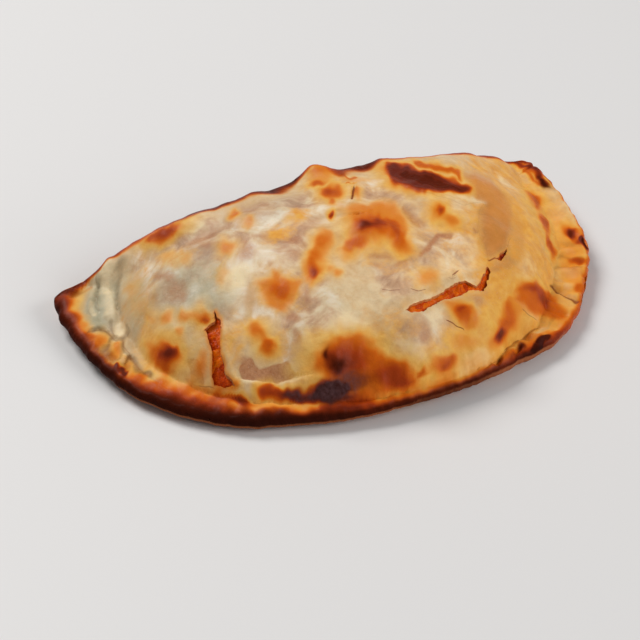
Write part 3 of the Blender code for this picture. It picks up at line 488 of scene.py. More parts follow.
        ([(7.7, 41.4), (10.1, 42), (12.7, 40.3), (16.6, 39.5), (20.3, 38.3), (24.4, 37), (26, 36),
          (24.2, 35.3), (19.9, 36.1), (14, 36.8), (10.3, 38.5)], 1.4, 0.72),
        ([(-16.5, -21.4), (-14.2, -18.4), (-12.7, -15.4), (-12.9, -12.3), (-11.9, -9.8), (-8.1, -9.8),
          (-5.1, -12.9), (-1.5, -14.9), (0, -17.5), (-3.5, -19.8), (-8.4, -21.5),
          (-12.7, -22.4)], 3.5, 0.3),
        ([(-18.2, -20.4), (-14.2, -17.9), (-11.2, -16.1), (-7.6, -16.9), (-6.6, -19), (-9.6, -21.4),
          (-13.2, -22.4), (-16.2, -21.9)], 2.3, 0.92),
        ([(42.6, -6.6), (45.8, -5.6), (48, -5.8), (47.4, -7.7), (43.6, -9.2), (40.6, -9.7)], 0.8, 0.85),
    ],
    # stretched skin without grain
    "SMOOTH_PATCHES": [
        (SKIN_ZONE, 2.3, 1),
    ],
    # the sunken dent, the flap by the left tear and the stretched skin
    "LILAC_PATCHES": [
        ([(-35, -15.4), (-34, -12.7), (-31.5, -11.6), (-29.9, -13.4), (-27.9, -13.2), (-22.9, -12.1),
          (-21, -13.7), (-18.2, -14.9), (-22.1, -15.9), (-26.1, -17), (-30.2, -16.5)], 1, 1.2),
        ([(-48.9, -11.8), (-46.2, -11.7), (-44.5, -16.8), (-47.3, -17.7)], 0.9, 1.2),
        (SKIN_ZONE, 4.6, 0.9),
    ],
    # fine cracks and creases
    "CRACKS": [
        ([(-77.3, -4.2), (-74.2, -3.6), (-71.8, -4.5), (-70.2, -6.1), (-68.7, -6.8), (-67.6, -6.3),
          (-66.9, -8.1), (-65.2, -10), (-64.6, -11.1)], 0.24, 0.4),
        ([(-64.6, -11.1), (-62.8, -13.3), (-60.5, -15), (-58.6, -15.8), (-56.5, -17)], 0.44, 0.35),
        ([(-71.1, -2.6), (-71.3, -3.7), (-71.8, -4.5)], 0.22, 0.25),
        (OVAL_LEFT, 0.22, 0.25),
        (OVAL_RIGHT, 0.22, 0.25),
        ([(5.9, 37.6), (8.8, 35.9), (12.6, 34.6), (18.6, 33.1), (22.8, 32), (25.7, 30.7), (27.6, 31.7),
          (32.1, 32.1)], 0.2, 0.28),
        ([(31.5, 31.6), (29.7, 28.5), (28.5, 24.2), (28.9, 21.1), (30.4, 19), (30.8, 16.1),
          (30.6, 14.5)], 0.17, 0.24),
        ([(38.1, 21.5), (36.8, 18.9)], 0.19, 0.35),
        ([(1.4, 6.6), (3.6, 6.4), (5.8, 6.5)], 0.11, 0.7),
        ([(8.8, 6.7), (10.7, 6.5), (12.6, 6.7)], 0.12, 0.75),
        ([(18.2, -1.2), (20.2, -2.6), (22.3, -3.5)], 0.15, 0.95),
        ([(40, 1.3), (41.9, 0.1), (44, -0.5)], 0.19, 0.55),
        (DENT_CREASE, 0.18, 0.25),
        (FRONT_CREASE, 0.21, 0.45),
        ([(50.3, 9), (51.8, 7.4), (53.3, 6.1), (55, 5.1), (57.1, 4.1)], 0.37, 0.8),
        ([(-45.4, -18.1), (-43.6, -18.5), (-42, -18.6)], 0.23, 0.5),
        ([(-44.4, -4.1), (-43.3, -2.8), (-42, -1.9), (-41.3, -0.8)], 0.23, 0.9),
        ([(-42, 0.7), (-41.4, -0.5), (-41, -1.7), (-40.1, -3.3)], 0.23, 0.9),
        (SLIT, 0.34, 0.95),
        ([(20.1, 10.6), (20.9, 11.3), (21.7, 11.9)], 0.26, 0.8),
        ([(19, 9.9), (19.7, 9.4), (20.8, 9.8)], 0.16, 0.4),
        ([(16.9, 35.4), (18.7, 38.3), (19.6, 40.2)], 0.17, 0.25),
        (WRINKLE, 0.15, 0.2),
        (WRINKLE_FORK, 0.15, 0.2),
        ([(2.1, -8.6), (3.9, -9.7), (5.4, -9.4)], 0.15, 0.2),
        ([(30.8, 14.6), (31.6, 15.1), (32.6, 15.6)], 0.24, 0.85),
        ([(-76.7, 3.9), (-77.9, 2.6), (-78.2, 1.2), (-77.2, 0)], 0.22, 0.25),
        ([(-76.3, 3.6), (-75.5, 2.4), (-75.4, 1), (-76.4, -0.3)], 0.22, 0.25),
        ([(-77.4, 8.6), (-76.5, 6.3), (-76.4, 4)], 0.22, 0.25),
    ],
    # fine relief, with a height in place of the strength: ridges above 0, creases below
    "RIDGES": [
        ([(-83.6, 5.2), (-81.8, 6.9), (-79.4, 8.5)], 0.61, -0.6),
        ([(-69.1, -2.3), (-69, -4.5)], 1.24, -0.7),
        ([(-73, -5), (-74.5, -7.4)], 0.86, 0.6),
        ([(-68.4, -7.9), (-70.3, -10)], 0.85, 0.6),
        ([(-65.8, -10.5), (-67.5, -12.8)], 0.79, 0.55),
        ([(-62.8, -13.3), (-64, -15)], 0.74, 0.45),
        (DENT_CREASE, 0.41, -0.3),
        ([(-34.5, -17.2), (-30.4, -17.7), (-26.1, -18.2), (-21.5, -17.7), (-17.7, -16.4)], 0.89, 0.25),
        ([(6, 38.2), (8.9, 36.5), (12.7, 35.2), (18.7, 33.7), (22.9, 32.6), (25.8, 31.5)], 0.51, 0.35),
        ([(31, 31.3), (29, 28.5), (27.9, 24.2), (28.3, 21.1), (29.7, 18.9)], 0.56, 0.35),
        ([(7.1, 1.1), (13, 3.9), (17.4, 6.2), (19.3, 7.7), (22.1, 8.5), (24.6, 8.7),
          (26.9, 7.8)], 0.67, 0.15),
        ([(28.1, 9.2), (29.9, 12.7)], 0.53, 0.5),
        ([(-44.6, -3.8), (-42.6, -8.9), (-43.1, -13), (-42.8, -18.1)], 0.57, 0.4),
        ([(-39.6, -3.8), (-38.4, -11.7), (-35.8, -17.7)], 0.56, 0.45),
        ([(35.3, 43.2), (37.6, 38.9), (40.5, 34.1)], 0.71, 0.35),
        ([(41.9, 46.5), (46.1, 43.8), (49.2, 40.1)], 0.61, 0.3),
        ([(41.9, 34.6), (44.3, 29), (46.3, 21.9)], 0.87, 0.3),
        ([(55.7, 28), (50.9, 21.7), (48.2, 18.5), (48.5, 13.9), (50.4, 10.9)], 0.72, -0.5),
        ([(50.3, 9), (52.9, 6.5), (57, 4.1)], 0.53, -0.9),
        ([(56.7, 28), (59, 29.3)], 0.78, 0.4),
        ([(55.5, 18.4), (59.4, 19.1)], 0.75, 0.5),
        ([(55.1, 12.3), (58.7, 12.8)], 0.8, 0.55),
        ([(53.8, 8.4), (57.5, 8.4)], 0.79, 0.55),
        ([(57.9, 24.2), (61.3, 23.2)], 0.77, -0.6),
        ([(57.3, 15.5), (61.4, 15.8)], 0.63, -0.6),
        ([(52.9, 11), (56.3, 10.3)], 0.51, -0.5),
        ([(27.2, -15.1), (30.6, -13.1)], 0.73, 0.7),
        ([(33, -11.3), (36.2, -9.3)], 0.74, 0.7),
        ([(39.2, -7.6), (42.1, -6.1)], 0.69, 0.6),
        ([(32.3, -11.3), (31.4, -12.5)], 0.52, -1.1),
        ([(38.3, -8.4), (37.2, -9.4)], 0.53, -1.1),
        (FRONT_CREASE, 0.47, -0.6),
        (WRINKLE, 0.25, -0.25),
        (WRINKLE_FORK, 0.25, -0.25),
        ([(12.2, -2.8), (12.1, -5.6)], 1.41, -0.5),
        ([(-11.6, 27.5), (-11.6, 27.3)], 0.71, -0.5),
        (SLIT, 0.39, -0.9),
        ([(20.6, 11), (21.6, 11.9)], 0.42, -0.6),
        ([(44.4, 7.5), (47.3, 3.7)], 2.46, 0.5),
        ([(40.5, 4.2), (40.4, 1.5)], 0.54, 0.3),
        ([(-47.8, -12.3), (-45.7, -16.6)], 1.16, -0.4),
        ([(32.9, -5.5), (36.5, 0.1)], 2.38, 0.5),
        ([(-5, 25.7), (4.7, 23.5)], 3.23, 0.4),
        ([(-12.2, -19.4), (-0.7, -16.5)], 3.54, 0.4),
        (ARC, 0.79, -0.2),
        (STREAK, 0.88, -0.2),
        ([(-74.2, 14.5), (-75.2, 10), (-74.5, 6.3), (-72.8, 3.5), (-71.7, -0.1)], 1.83, 1.3),
        ([(-70.8, 13.3), (-71.2, 9.4), (-70.9, 6.2), (-69.6, 2.6), (-68.3, -0.7)], 0.84, -0.7),
        ([(-76.8, 10.6), (-78.3, 7.2), (-78.4, 4.3)], 1.01, 0.7),
        ([(-76.4, 8.9), (-77, 6.3), (-76.7, 4)], 0.45, -0.6),
        ([(-76.8, 2.9), (-76.9, 1.2)], 0.99, -0.7),
        ([(-77.3, -4.2), (-74.2, -3.6), (-71.8, -4.5), (-70.2, -6.1), (-68.7, -6.8), (-67.6, -6.3),
          (-66.9, -8.1), (-65.2, -10), (-64.6, -11.1), (-60.5, -15), (-58.6, -15.8),
          (-56.5, -17)], 0.49, -0.35),
    ],
    # where the dough is marbled
    "MARBLE_PATCHES": [
        ([(-67.6, 14.9), (-61.9, 19.6), (-47.7, 25.7), (-31.3, 30.5), (-17.5, 34.8), (-7.7, 36.5),
          (-5.9, 30.4), (-10.6, 25.2), (-17.4, 22.9), (-19.9, 13.9), (-31.7, 11.3), (-34, 3.9),
          (-36.5, -1.2), (-44.5, 1.4), (-48.6, 1.4), (-60.1, 4.1), (-64.5, 9.7)], 3.9, 1),
        ([(-31.5, 3.9), (-19.9, 13.1), (-12.1, 7.8), (-8.3, 1.3), (-12.2, -5), (-17.2, -8.8),
          (-19.8, -15.2), (-24.9, -12.7), (-23.6, -6.3), (-26.2, -1.2), (-31.4, -0.7)], 2.6, 0.9),
        ([(8.7, 30.5), (14, 27.5), (14.9, 21.7), (26.2, 23.3), (28.3, 20.5), (28.4, 15.5), (16.7, 9.2),
          (5.8, 3.9), (0.8, 6.5), (-1.6, 14), (6.3, 14)], 2.8, 0.7),
        ([(5.7, -0.7), (19.1, 0.9), (27.1, 0.1), (24.3, -7.7), (13.4, -12), (6.9, -10.9),
          (4.4, -6.3)], 2.6, 0.6),
        ([(-9, 40), (3.7, 37.8), (9, 34.5), (7.4, 30.5), (-6.5, 30.4), (-9.7, 33.7)], 1.7, 0.8),
    ],
    # shaded hollows between folds and lobes
    "SHADE_STROKES": [
        ([(-77.2, -4.2), (-74.2, -3.7), (-71.8, -4.5), (-70.2, -6.1), (-68.7, -6.9), (-67.6, -6.6),
          (-66.9, -8.1), (-65.1, -10), (-64.6, -11.1)], 0.65, 0.5),
        ([(-64.6, -11.1), (-62.8, -13.3), (-60.5, -15), (-58.8, -16)], 0.9, 0.62),
        (OVAL_LEFT, 0.49, 0.45),
        (OVAL_RIGHT, 0.49, 0.45),
        ([(-71, -6.3), (-71.4, -9.2)], 0.7, 0.5),
        ([(-67, -9.2), (-67.9, -11.5)], 0.58, 0.4),
        ([(-64.6, -10.7), (-65.9, -13)], 0.63, 0.6),
        ([(50.3, 9), (52.8, 6.5), (56.8, 4.1)], 0.79, 0.25),
        ([(56.2, 21.3), (61.5, 21.3)], 1, 0.35),
        ([(54.6, 17), (60.9, 16.7)], 0.87, 0.35),
        ([(52.5, 13.6), (60.1, 13.1)], 0.85, 0.3),
        ([(37.5, -7.9), (42.5, -5.5), (46.8, -3.1), (49.2, -0.1)], 0.69, 0.25),
        ([(28.5, -15.3), (32.5, -12.9)], 0.68, 0.45),
        ([(35.4, -10.7), (39.1, -8.7)], 0.69, 0.5),
        ([(-69.5, 16.1), (-70.5, 12.7), (-71.2, 8.5), (-70.9, 4.8), (-69.8, 1)], 1.17, 0.36),
        ([(-76.9, 12.3), (-77.4, 8.6), (-76.2, 4.3), (-75, 1.5)], 0.45, 0.35),
    ],
    # the same, wider
    "SHADE_SPOTS": [
        (-71.1, -10.2, 3.7, 1.6, -42, 0.55), (33.8, 23, 5.5, 12.1, 14, 0.3),
        (-65.6, -14.1, 2.4, 1.3, -35, 0.5),
    ],
    # grey on the thickest char: partly ash, partly a painted sheen
    "ASH_SPOTS": [
        (-10.1, -18.4, 6.6, 3.8, 8, 0.95), (-19.8, -20.4, 5.1, 2, 0, 0.8), (45.5, -7.1, 3.2, 1.6, 25, 0.4),
    ],
}


# ---- shape functions, as in the part's source ---------------------------------------------------
def smooth(t):
    """0 up to t = 0 and 1 from t = 1, eased between them."""
    t = np.clip(t, 0, 1)
    return t * t * (3 - 2 * t)


def quarter_round(distance_in, radius):
    """0 at the edge, rising to 1 one radius in, like a ball's side."""
    t = np.clip(distance_in / np.maximum(radius, 0.01), 0, 1)
    return np.sqrt(1 - (1 - t) ** 2)


def closed_curve(points, steps):
    """A closed Catmull-Rom curve through the points."""
    points = np.array(points)
    t = np.linspace(0, 1, steps, endpoint=False)[:, None]
    pieces = []
    for i in range(len(points)):
        a, b, c, d = (points[(i + k) % len(points)] for k in (-1, 0, 1, 2))
        bend = (c - a) * t + (2 * a - 5 * b + 4 * c - d) * t**2 + (3 * b - a - 3 * c + d) * t**3
        pieces.append(b + 0.5 * bend)
    return np.concatenate(pieces)


def closed(outline):
    """An outline with its first point again at its end."""
    return np.concatenate([outline, outline[:1]])


def travelled(line):
    """How far along a polyline each of its points lies."""
    return np.concatenate([[0], np.cumsum(np.hypot(*np.diff(line, axis=0).T))])


def points_along(line, travel, at):
    """The points of a polyline that lie so far along it."""
    return np.stack([np.interp(at, travel, line[:, 0]), np.interp(at, travel, line[:, 1])], 1)


def compass(x, y):
    """Compass angle of each point from CENTRE."""
    return np.arctan2(y - CENTRE[1], x - CENTRE[0])


LOOP = closed_curve(FOLD_POINTS + ARC_POINTS, LOOP_STEPS)
ORIGIN = (LOOP.min(0) + LOOP.max(0)) / 2
ARC_START = len(FOLD_POINTS) * LOOP_STEPS
CLOSED = closed(LOOP)
LOOP_ANGLE = np.unwrap(compass(*CLOSED.T))
LOOP_RADIUS = np.hypot(*(CLOSED - CENTRE).T)
LOOP_TRAVEL = travelled(CLOSED)


def counted(turn):
    """An angle, counted on from the start of the outline."""
    return np.mod(turn - LOOP_ANGLE[0], 2 * math.pi) + LOOP_ANGLE[0]


def by_angle(angle, rows, column):
    """A column of a table by compass angle in degrees, eased from one row to the next."""
    at = np.radians([row[0] for row in rows])
    at = np.concatenate([at - 2 * math.pi, at, at + 2 * math.pi])
    values = np.tile([row[column] for row in rows], 3)
    k = np.searchsorted(at, angle, side="right") - 1
    share = smooth((angle - at[k]) / (at[k + 1] - at[k]))
    return values[k] * (1 - share) + values[k + 1] * share


def edge_value(angle, column):
    """A column of ROUND_THE_EDGE at each compass angle."""
    return by_angle(angle, ROUND_THE_EDGE, column)


def fold_share(angle):
    """1 along the fold, 0 along the arc, eased just inside the fold's corners."""
    ease = math.radians(CORNER_EASE)
    return smooth((angle - LOOP_ANGLE[0]) / ease) * smooth((LOOP_ANGLE[ARC_START] - angle) / ease)


def seal_half(angle):
    """Half the thickness of the pressed rim, 0 along the fold."""
    return SEAL / 2 * (1 - fold_share(angle))


def distance(x, y, line):
    """Distance from each point to a polyline."""
    nearest = np.full(x.shape, np.inf)
    for (ax, ay), (bx, by) in zip(line[:-1], line[1:]):
        dx, dy = bx - ax, by - ay
        t = np.clip(((x - ax) * dx + (y - ay) * dy) / (dx * dx + dy * dy), 0, 1)
        nearest = np.minimum(nearest, (x - ax - t * dx) ** 2 + (y - ay - t * dy) ** 2)
    return np.sqrt(nearest)


def in_ellipse(x, y, centre_x, centre_y, length, width, heading):
    """Each point's place along and across an ellipse, in half lengths and half widths of it."""
    c, s = math.cos(math.radians(heading)), math.sin(math.radians(heading))
    along = ((x - centre_x) * c + (y - centre_y) * s) / length
    return along, ((y - centre_y) * c - (x - centre_x) * s) / width


def ripple(x, y, wavelength, seed, waves=9):
    """Smooth seeded noise of about that wavelength, mostly between -1 and 1."""
    draw = np.random.default_rng(seed)
    total = np.zeros_like(x)
    for _ in range(waves):
        heading, shift = draw.uniform(0, 2 * math.pi, 2)
        number = 2 * math.pi / wavelength * draw.uniform(0.7, 1.35)
        total += np.sin(number * (x * math.cos(heading) + y * math.sin(heading)) + shift)
    return total / math.sqrt(waves)


def ripples(x, y, rows, waves=9):
    """The sum of several such noises, each given as its wavelength, height and seed."""
    return sum(height * ripple(x, y, wavelength, seed, waves) for wavelength, height, seed in rows)


def relief(x, y):
    """Height of the ripples, lumps and dents at each plan point."""
    total = ripples(x, y, RIPPLES)
    for *ellipse, height in RELIEF:
        along, across = in_ellipse(x, y, *ellipse)
        total = total + height * np.exp(-along**2 - across**2)
    return total


def tine_marks(angle):
    """0 on the ridges that the fork leaves along the rim, 1 in its grooves, with a hand's uneven pitch."""
    travel = np.interp(angle, LOOP_ANGLE, LOOP_TRAVEL)
    marks = travel / CRIMP_PITCH + 0.18 * np.sin(travel / 9.7) + 0.12 * np.sin(travel / 4.3 + 1)
    return np.sin(math.pi * marks) ** 4 * (0.8 + 0.2 * np.sin(travel / 13))


def ragged_outline():
    """The outline with the scallops between its tine marks and the unevenness of a baked edge."""
    angle = LOOP_ANGLE[:-1]
    on_arc = 1 - fold_share(angle)
    out = SCALLOP * (0.5 - tine_marks(angle)) * on_arc * by_angle(angle, CRIMP_STRENGTH, 1)
    out = out + on_arc * ripples(*LOOP.T, RAGGED, waves=FINE_WAVES)
    ray = (LOOP - CENTRE) / LOOP_RADIUS[:-1, None]
    return LOOP + ray * out[:, None]


EDGE = ragged_outline()
FOLD_LINE = closed(EDGE)[:ARC_START + 1:FOLD_THINNED]
ARC_LINE = closed(EDGE)[ARC_START::ARC_THINNED]
MIDDLE = EDGE[np.abs(EDGE[:, 0]) < MIDDLE_HALF, 1]
ARC_MIDDLE, FOLD_MIDDLE = MIDDLE.min(), MIDDLE.max()


def place(x, y, depth):
    """Compass angle from CENTRE, distance to the arc, and the distances in from the edges of the form
    that lies depth inside the crust: from its fold, and from where its belly meets the pressed rim."""
    angle = counted(compass(x, y))
    to_rim = distance(x, y, ARC_LINE)
    from_fold = distance(x, y, FOLD_LINE) - depth
    from_rim = to_rim - edge_value(angle, RIM_WIDTH) - depth
    return angle, to_rim, from_fold, from_rim


def form_height(x, y, depth, placed):
    """Height of the upper skin at each plan point, or of the form that lies depth inside it, before its
    fork marks and fine unevenness."""
    angle, to_rim, from_fold, from_rim = placed
    behind = quarter_round(from_fold, FOLD_REACH - depth)
    climb = np.clip(from_rim / (ARC_REACH - depth), 0, 1)
    ahead = (1 - (1 - climb) ** BELLY_POWER) ** edge_value(angle, BELLY_SLOPE)
    half = seal_half(angle)
    height = edge_value(angle, EDGE_HEIGHT) + half * quarter_round(to_rim, half)
    height = height - depth * RIM_SINK * (1 - fold_share(angle))
    height = height + (HEIGHT - depth - height) * behind * ahead
    return height + relief(x, y) * smooth(np.minimum(from_fold, to_rim - depth) / RELIEF_FADE)


def bottom_height(inset, angle):
    """Height of the underside that far in from the edge, along the ray to CENTRE."""
    middle, half, share = edge_value(angle, EDGE_HEIGHT), seal_half(angle), fold_share(angle)
    tucked = middle * (1 - quarter_round(inset, UNDERCUT))
    lifted = (middle - half * quarter_round(inset, half)) * (1 - smooth(inset / UNDERCUT))
    return share * tucked + (1 - share) * lifted


def side(loop, start, end, cells):
    """Evenly spaced points along a closed outline, from one of its points on to another."""
    stretch = closed(loop)[start:end + 1]
    travel = travelled(stretch)
    return points_along(stretch, travel, np.linspace(0, travel[-1], cells + 1))


def row_places(rows):
    """Shares of the way from front to fold for the grid's rows, even along the belly's middle profile."""
    t = np.linspace(0, 1, PROFILE_STEPS)
    across = ARC_MIDDLE + t * (FOLD_MIDDLE - ARC_MIDDLE)
    x = np.zeros_like(t)
    rise = form_height(x, across, 0, place(x, across, 0))
    travel = travelled(np.stack([rise, across], 1))
    return np.interp(np.linspace(0, travel[-1], rows + 1), travel, t)


def patch(loop, cells):
    """A grid of plan points that fills an outline, with the rows crowded where the belly is steep.

    Its four sides are the fold, the two ends and the front. Gives x, y, faces and the rim's indices.
    """
    nx, ny = cells
    left_turn, right_turn = ARC_START + LEFT_TURN * LOOP_STEPS, ARC_START + RIGHT_TURN * LOOP_STEPS
    fold = side(loop, 0, ARC_START, nx)[::-1][None]
    left = side(loop, ARC_START, left_turn, ny)[::-1][:, None]
    front = side(loop, left_turn, right_turn, nx)[None]
    right = side(loop, right_turn, len(loop), ny)[:, None]
    s = np.linspace(0, 1, nx + 1)[None, :, None]
    t = row_places(ny)[:, None, None]
    points = (1 - t) * front + t * fold
    points = points + (1 - s) * (left - (1 - t) * left[0] - t * left[-1])
    points = points + s * (right - (1 - t) * right[0] - t * right[-1])
    row = nx + 1
    faces = [(j * row + i, j * row + i + 1, (j + 1) * row + i + 1, (j + 1) * row + i)
             for j in range(ny) for i in range(nx)]
    rim = list(range(nx)) + [j * row + nx for j in range(ny)]
    rim += [ny * row + i for i in range(nx, 0, -1)] + [j * row for j in range(ny, 0, -1)]
    return points[..., 0].ravel(), points[..., 1].ravel(), faces, rim


def inset_loop(loop, inset):
    """The outline moved in along the rays to CENTRE."""
    ray = loop - CENTRE
    reach = np.hypot(*ray.T)[:, None]
    return CENTRE + ray * (1 - inset / reach)


def hollow_loop():
    """Plan outline of the hollow: at least one crust thickness in from the fold and the pressed rim,
    and rounded off in the fold's corners."""
    angle = LOOP_ANGLE[:-1]
    near, far = np.zeros_like(angle), LOOP_RADIUS[:-1]
    for _ in range(HALVINGS):
        middle = (near + far) / 2
        _, _, from_fold, from_rim = place(CENTRE[0] + middle * np.cos(angle),
                                          CENTRE[1] + middle * np.sin(angle), CRUST)
        inside = np.minimum(from_fold, from_rim) > 0
        near, far = np.where(inside, middle, near), np.where(inside, far, middle)
    window = range(-HOLLOW_ROUNDING, HOLLOW_ROUNDING + 1)
    near = np.min([np.roll(near, k) for k in window], axis=0)
    near = np.mean([np.roll(near, k) for k in window], axis=0)
    for turn, spread, reach in HOLLOW_REACHES:
        away = np.mod(np.degrees(angle) - turn + 180, 360) - 180
        near = near + reach * np.exp(-((away / spread) ** 2))
    return np.stack([CENTRE[0] + near * np.cos(angle), CENTRE[1] + near * np.sin(angle)], 1)


def prism(outline, low, high):
    """A plan outline, anticlockwise, drawn up from one height to another."""
    count = len(outline)
    points = [(x, y, low) for x, y in outline] + [(x, y, high) for x, y in outline]
    faces = [tuple(range(count - 1, -1, -1)), tuple(range(count, 2 * count))]
    faces += [(k, (k + 1) % count, (k + 1) % count + count, k + count) for k in range(count)]
    return points, faces


# ---- the traced plane ---------------------------------------------------------------------------
# Browning, stains and creases are placed on a plane, as if traced from above the front left, which meets
# both the top and the steep front squarely. Its axes run to the right and up, through the origin.
TRACE_TURN, TRACE_RISE = math.radians(-27.0), math.radians(35.0)
TRACE_RIGHT = np.array([math.cos(TRACE_TURN), math.sin(TRACE_TURN), 0.0])
TRACE_UP = np.array([-math.sin(TRACE_TURN) * math.sin(TRACE_RISE),
                     math.cos(TRACE_TURN) * math.sin(TRACE_RISE), math.cos(TRACE_RISE)])
TRACE_BACK = np.cross(TRACE_RIGHT, TRACE_UP)


def traced(points):
    """Where points lie on the traced plane: across and up."""
    return points @ TRACE_RIGHT, points @ TRACE_UP


def facing_share(squarely, eased):
    """1 where the skin faces the traced plane, 0 where it faces away, by its normal's share towards it."""
    past, span = eased
    return smooth((squarely + past) / span)


def soft_share(away):
    """1 in the middle of something painted, fading where away comes to 1."""
    return np.exp(-SPOT_FALL * away**SPOT_EDGE)


def stroke_share(across, up, points, half_width):
    """1 along a painted line's middle, 0 away from it, with a soft edge."""
    return soft_share(distance(across, up, points) / half_width)


def inside_distance(across, up, outline):
    """Distance to a closed outline, positive inside it and negative outside."""
    line = closed(np.array(outline))
    inside = np.zeros(across.shape, bool)
    for (ax, ay), (bx, by) in zip(line[:-1], line[1:]):
        if ay != by:
            crosses = (ay > up) != (by > up)
            inside ^= crosses & (across < (bx - ax) * (up - ay) / (by - ay) + ax)
    return np.where(inside, 1, -1) * distance(across, up, line)


def inside_share(across, up, outline, soft):
    """1 inside a closed outline, 0 outside, with a soft edge of that width."""
    return smooth(0.5 + inside_distance(across, up, outline) / soft)


def beside_line(across, up, line):
    """Distance to a polyline, negative on its right, and how far past its ends a point lies."""
    nearest, signed, past = (np.full(across.shape, np.inf) for _ in range(3))
    last = len(line) - 2
    for k, ((ax, ay), (bx, by)) in enumerate(zip(line[:-1], line[1:])):
        dx, dy = bx - ax, by - ay
        length = math.hypot(dx, dy)
        run = ((across - ax) * dx + (up - ay) * dy) / length
        off = ((up - ay) * dx - (across - ax) * dy) / length
        over = run - np.clip(run, 0, length)
        away = np.hypot(off, over)
        closer = away < nearest
        beyond = np.where((over < 0) & (k == 0) | (over > 0) & (k == last), np.abs(over), 0)
        nearest, past = np.where(closer, away, nearest), np.where(closer, beyond, past)
        signed = np.where(closer, np.where(off < 0, -away, away), signed)
    return signed, past


# ---- painting -----------------------------------------------------------------------------------
def combined(shares):
    """The strongest of several shares, with a soft passage where they meet."""
    return sum(np.clip(share, 0, None) ** 4 for share in shares) ** 0.25


def channel(name, across, up, wider=1, softer=1, steps=PATCH_STEPS):
    """One channel of the painting at points of the traced plane, or the same with its forms widened."""
    shares = [strength * soft_share(np.hypot(*in_ellipse(across, up, cx, cy, wider * length,
                                                         wider * width, heading)))
              for cx, cy, length, width, heading, strength in PAINT.get(name + "_SPOTS", [])]
    shares += [strength * stroke_share(across, up, points, wider * half_width)
               for points, half_width, strength in PAINT.get(name + "_STROKES", [])]
    shares += [strength * inside_share(across, up, closed_curve(outline, steps), softer * soft)
               for outline, soft, strength in PAINT.get(name + "_PATCHES", [])]
    return combined(shares)


def wavered(across, up, sizes):
    """Traced points shifted by seeded noise, so that nothing painted has a smooth edge."""
    for wavelength, shift, seed in sizes:
        a, b = ripple(across, up, wavelength, seed), ripple(across, up, wavelength, seed + 1)
        across, up = across + shift * a, up + shift * b
    return across, up


def creases(across, up):
    """Lift of the skin by its fine ridges and creases."""
    lift = np.zeros_like(across)
    for points, half_width, height in PAINT["RIDGES"]:
        lift = lift + height * stroke_share(across, up, points, half_width)
    return lift


def crack_lines(across, up):
    """Signed distance to the nearest fine crack in half widths of it, and how dark that crack is."""
    nearest, dark = np.full(across.shape, CRACK_REACH), np.zeros_like(across)
    for points, half_width, strength in PAINT["CRACKS"]:
        away, past = beside_line(across, up, points)
        away = away / half_width
        closer = np.abs(away) < np.abs(nearest)
        nearest = np.where(closer, away, nearest)
        fade = (1 - smooth(past / CRACK_END)) * (1 - smooth((np.abs(away) - CRACK_FADE) / CRACK_FADE))
        dark = np.where(closer, strength * fade, dark)
    return nearest, dark


def scattered(points, hidden, seed, count, sizes, strengths):
    """Seeded round spots on the sides that the traced plane doesn't meet."""
    draw = np.random.default_rng(seed)
    candidates = points[hidden > HIDDEN_FROM]
    shares = []
    for _ in range(count):
        centre = candidates[draw.integers(len(candidates))]
        size, strength = draw.uniform(*sizes), draw.uniform(*strengths)
        away = np.linalg.norm((points - centre) * draw.uniform(*HIDDEN_STRETCH, 3), axis=1)
        shares.append(strength * smooth((1.4 - away / size) / 0.9))
    return combined(shares) * hidden


def browned_below(points, angle, edge, noise):
    """How brown the edge, the base and the ring that touches the plate are on the sides that the traced
    plane doesn't meet, and how black the edge is."""
    x, y, z = points.T
    brown, black, reach = (by_angle(angle, BROWNED_BELOW, k) for k in (1, 2, 3))
    patchy = 0.72 + 0.5 * ripple(x, 1.3 * z - 0.5 * y, 14.0, 59) + 0.2 * ripple(x, z, 5.0, 60)
    brown = brown * (1 - smooth(edge / (reach * (1 + 0.3 * noise)))) * np.clip(patchy, 0.2, 1.05)
    black = black * (1 - smooth(edge / (BURNT_REACH * reach * (1 + 0.4 * noise))))
    base = BASE_TOAST * smooth(0.5 - z / BASE_TOP) * (0.7 + 0.5 * ripple(x, y, 17.0, 52))
    ring = smooth(1 - np.abs(z - CONTACT_HEIGHT) / CONTACT_SPREAD)
    contact = CONTACT_TOAST * ring * smooth((edge - CONTACT_INSET) / CONTACT_INSET)
    return [brown, np.clip(base, 0, 1), contact], black


def browned_rim(points, normals, angle, to_rim):
    """How brown and how black the pressed rim is, and how clearly its lower layer of dough shows."""
    x, y, _ = points.T
    upward = normals[:, 2] > 0
    ragged = 1 + 0.22 * ripple(x, y, 9.0, 57) + 0.08 * ripple(x, y, 3.5, 58)
    brown, brown_reach, black, black_reach, layer = (by_angle(angle, RIM_BROWNED, k) for k in range(1, 6))
    under = smooth(UNDER_RIM - to_rim)
    from_arc, shown = np.where(upward, to_rim, 0), np.where(upward, 1.0, under)
    brown = brown * (1 - smooth(from_arc / (brown_reach * ragged))) * shown
    black = black * (1 - smooth(from_arc / (black_reach * ragged))) * shown
    layer_from = np.interp(np.degrees(angle) % 360, *LAYER_SHOWS)
    return brown, black, layer * smooth((-normals[:, 2] - layer_from) / LAYER_EASE) * under


def below_top(across, up, upward):
    """How far below the outline's top each point lies in the traced plane."""
    strips = np.round((across - across.min()) / STRIP).astype(int)
    top = np.full(strips.max() + 1, -np.inf)
    np.maximum.at(top, strips[upward], up[upward])
    middles = across.min() + STRIP * np.arange(len(top))
    filled = np.isfinite(top)
    return np.maximum(np.interp(across, middles[filled], top[filled]) - up, 0)


